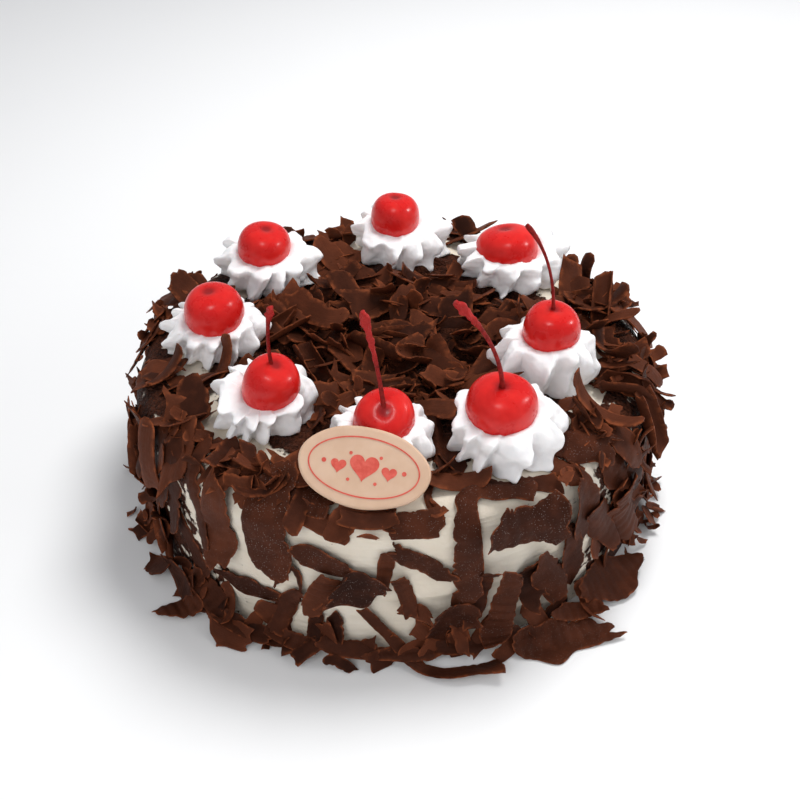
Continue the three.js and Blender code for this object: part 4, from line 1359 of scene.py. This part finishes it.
def makeCreamBody(material):
    look, draw = coatLook, dice(31)
    bottom = footStart + cakeShape["foot"]
    runs = np.concatenate([np.linspace(0, shoulderStart, look["topRows"], endpoint=False),
                           np.linspace(shoulderStart, bottom, look["sideRows"])])[:, None]
    angle = np.linspace(0, fullTurn, look["columns"], endpoint=False)[None, :]
    over = np.clip((runs - shoulderStart) / cakeShape["shoulder"], 0, math.pi / 2)
    down = np.clip(runs - sideStart, 0, sideLength + cakeShape["foot"])
    radius = np.minimum(runs, shoulderStart) + cakeShape["shoulder"] * np.sin(over)
    height = cakeShape["height"] - cakeShape["shoulder"] * (1 - np.cos(over)) - down
    relief = np.zeros((len(runs), look["columns"]))
    for _ in range(look["strokeCount"]):  # long flat strokes along the side, each a shallow ridge
        where, tall = 78 + draw() * 78, 1.2 + draw() * 3.5
        middle, wide = draw() * fullTurn, 0.25 + draw() * 0.9
        slant = (draw() - 0.5) * 6
        around = (angle - middle + math.pi) % fullTurn - math.pi
        step = (runs - where - slant * around) / tall
        relief += look["strokes"] * (draw() - 0.35) * np.exp(-(around / wide) ** 4) * np.exp(-step ** 2)
    for waves in (2, 3, 5, 9):
        shift, tilt = draw() * anyPhase, draw() * 0.08
        relief += look["swell"] / waves * np.sin(waves * angle + shift + tilt * runs)
    relief = (relief - 0.5) * np.clip((bottom - runs) / 6, 0, 1)
    r = radius + relief * np.sin(over)
    x, y = r * np.cos(angle), r * np.sin(angle)
    z = np.maximum(height + relief * np.cos(over), 0)
    # the bed of crumbs on top, thinning towards the edge, and round the back and both sides
    front = np.clip(1.25 - np.abs((angle + 1.5 * math.pi) % fullTurn - math.pi) / 0.8, 0, 1)
    bed = np.clip((look["bedTo"] - runs) / 14, 0, 1) * np.ones_like(angle)
    bed = np.maximum(bed, look["sideBed"] * (runs > 80) * (1 - front))
    bumps = np.zeros_like(bed)
    for scale in (0.35, 0.62, 1.1):
        for _ in range(3):
            dx, dy, shift = draw() - 0.5, draw() - 0.5, draw() * anyPhase
            bumps += 0.3 * np.sin((x * dx + y * dy) * 2 * scale + shift)
    z = z + bed * (bumps + 0.4) * look["bedHeight"] * np.clip((84 - runs) / 8, 0, 1)
    grid = np.stack([x, y, z], -1)[1:][::-1]
    piece = roundMesh("creamBody", grid, material, "bed", [0.0, 1.0] + bed[1:][::-1].ravel().tolist())
    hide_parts("cake")
    return piece


plaqueShape = {"width": 43, "height": 26.4, "thickness": 3, "edge": 0.9, "sides": 128,
               "centre": (-10.1, -80.4, 70.0), "lean": 44, "turn": -11.5}
plaqueDesign = {"raised": 0.16, "sunk": 0.3, "ringInset": 3.4, "ringWidth": 0.45,
                "ringSides": 96, "heartSides": 40, "dotSides": 20,
                "hearts": [(0, 0.2, 9.5), (-8.2, -0.6, 5), (8.2, -0.6, 5)],
                "dots": [(-13, 0.2, 1.5), (13, 0.2, 1.5), (-4.9, 3.9, 1.1), (4.9, 3.9, 1.1),
                         (-4.4, -4.6, 1.1), (4.4, -4.6, 1.1)]}


def onPlaque(points):
    turn = (Matrix.Translation(Vector(plaqueShape["centre"]))
            @ Matrix.Rotation(math.radians(plaqueShape["lean"]), 4, "X")
            @ Matrix.Rotation(math.radians(plaqueShape["turn"]), 4, "Z"))
    return [turn @ Vector(p) for p in points]


def oval(inset, count, uneven=lambda a: 0):
    width, height = plaqueShape["width"] / 2 - inset, plaqueShape["height"] / 2 - inset
    turns = [fullTurn * i / count for i in range(count)]
    return [((width + uneven(a)) * math.cos(a), (height + uneven(a)) * math.sin(a)) for a in turns]


def edgeWave(a):
    # how far the moulded edge wanders in and out
    return 0.12 * math.sin(3 * a + 1) + 0.08 * math.sin(7 * a)


def makePlaque(material):
    half, edge = plaqueShape["thickness"] / 2, plaqueShape["edge"]
    profile = [(8, -half), (3, -half), (edge + 0.3, -half)]
    for k in range(9):
        a = math.radians(-90 + 22.5 * k)
        profile.append((edge * (1 - math.cos(a)), (half - edge) * (1 if a > 0 else -1)
                        + edge * math.sin(a) if k != 4 else 0))
    profile += [(edge + 0.3, half), (3, half + 0.05), (8, half + 0.1)]
    rows = [onPlaque([(x, y, level) for x, y in oval(inset, plaqueShape["sides"], edgeWave)])
            for inset, level in profile]
    piece = roundMesh("plaque", rows, material)
    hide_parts("plaque")
    return piece


def makePlaqueDesign(ink):
    design = plaqueDesign
    top = plaqueShape["thickness"] / 2 + 0.06
    points, faces = [], []

    def slab(outline, inner=None):
        start, n = len(points), len(outline)
        inner = inner or [tuple(np.mean(outline, axis=0))] * n
        for level in (top - design["sunk"], top + design["raised"]):
            points.extend(onPlaque([(x, y, level) for x, y in outline + inner]))
        for i in range(n):
            j = (i + 1) % n
            low, high = start, start + 2 * n
            faces.append((high + i, high + j, high + n + j, high + n + i))
            faces.append((low + i, low + n + i, low + n + j, low + j))
            faces.append((low + i, low + j, high + j, high + i))
            faces.append((low + n + i, high + n + i, high + n + j, low + n + j))

    slab(oval(design["ringInset"], design["ringSides"]),
         oval(design["ringInset"] + design["ringWidth"], design["ringSides"]))
    for x, y, size in design["hearts"]:
        heart, unit = [], size / 32
        for i in range(design["heartSides"]):
            a = fullTurn * (i + 0.5) / design["heartSides"]
            heart.append((x - unit * 16 * math.sin(a) ** 3, y + unit * (
                13 * math.cos(a) - 5 * math.cos(2 * a) - 2 * math.cos(3 * a) - math.cos(4 * a))))
        slab(heart)
    for x, y, size in design["dots"]:
        turns = [fullTurn * i / design["dotSides"] for i in range(design["dotSides"])]
        slab([(x + size / 2 * math.cos(a), y + size / 2 * math.sin(a)) for a in turns])
    mesh = bpy.data.meshes.new("plaqueDesign")
    mesh.from_pydata([p * mm for p in points], [], faces)
    mesh.materials.append(ink)
    piece = addObject("plaqueDesign", mesh)
    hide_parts("plaque")
    return piece


def makeFloor(material):
    mesh = bpy.data.meshes.new("floor")
    far = backdrop["floorHalf"] * mm
    mesh.from_pydata([(-far, -far, 0), (far, -far, 0), (far, far, 0), (-far, far, 0)], [], [(0, 1, 2, 3)])
    mesh.materials.append(material)
    addObject("floor", mesh)


setCamera()
setLights()
makeFloor(makeFloorPaper())
print("camera, lights and floor set")
chocolate = makeChocolate()
onTheCake = [makeCreamBody(makeCoatCream())]
print("cream body made")
shavings = makeLargeShavings(chocolate) + makeScatteredShavings(chocolate)
for piece in shavings:
    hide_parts("cake")
onTheCake += shavings + makeRosettes(makeWhippedCream())
cherrySkin, stemSkin = makeCherrySkin(), makeStemSkin()
for number, topping in enumerate(toppings, 1):
    onTheCake.append(makeCherry(number, topping, cherrySkin))
    if "stem" in topping:
        onTheCake.append(makeStem(number, topping, stemSkin))
print("cherries made")
onTheCake += [makePlaque(makePlaqueChocolate()), makePlaqueDesign(makePlaqueInk())]
print("plaque made")
for piece in onTheCake:
    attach(piece, "root")
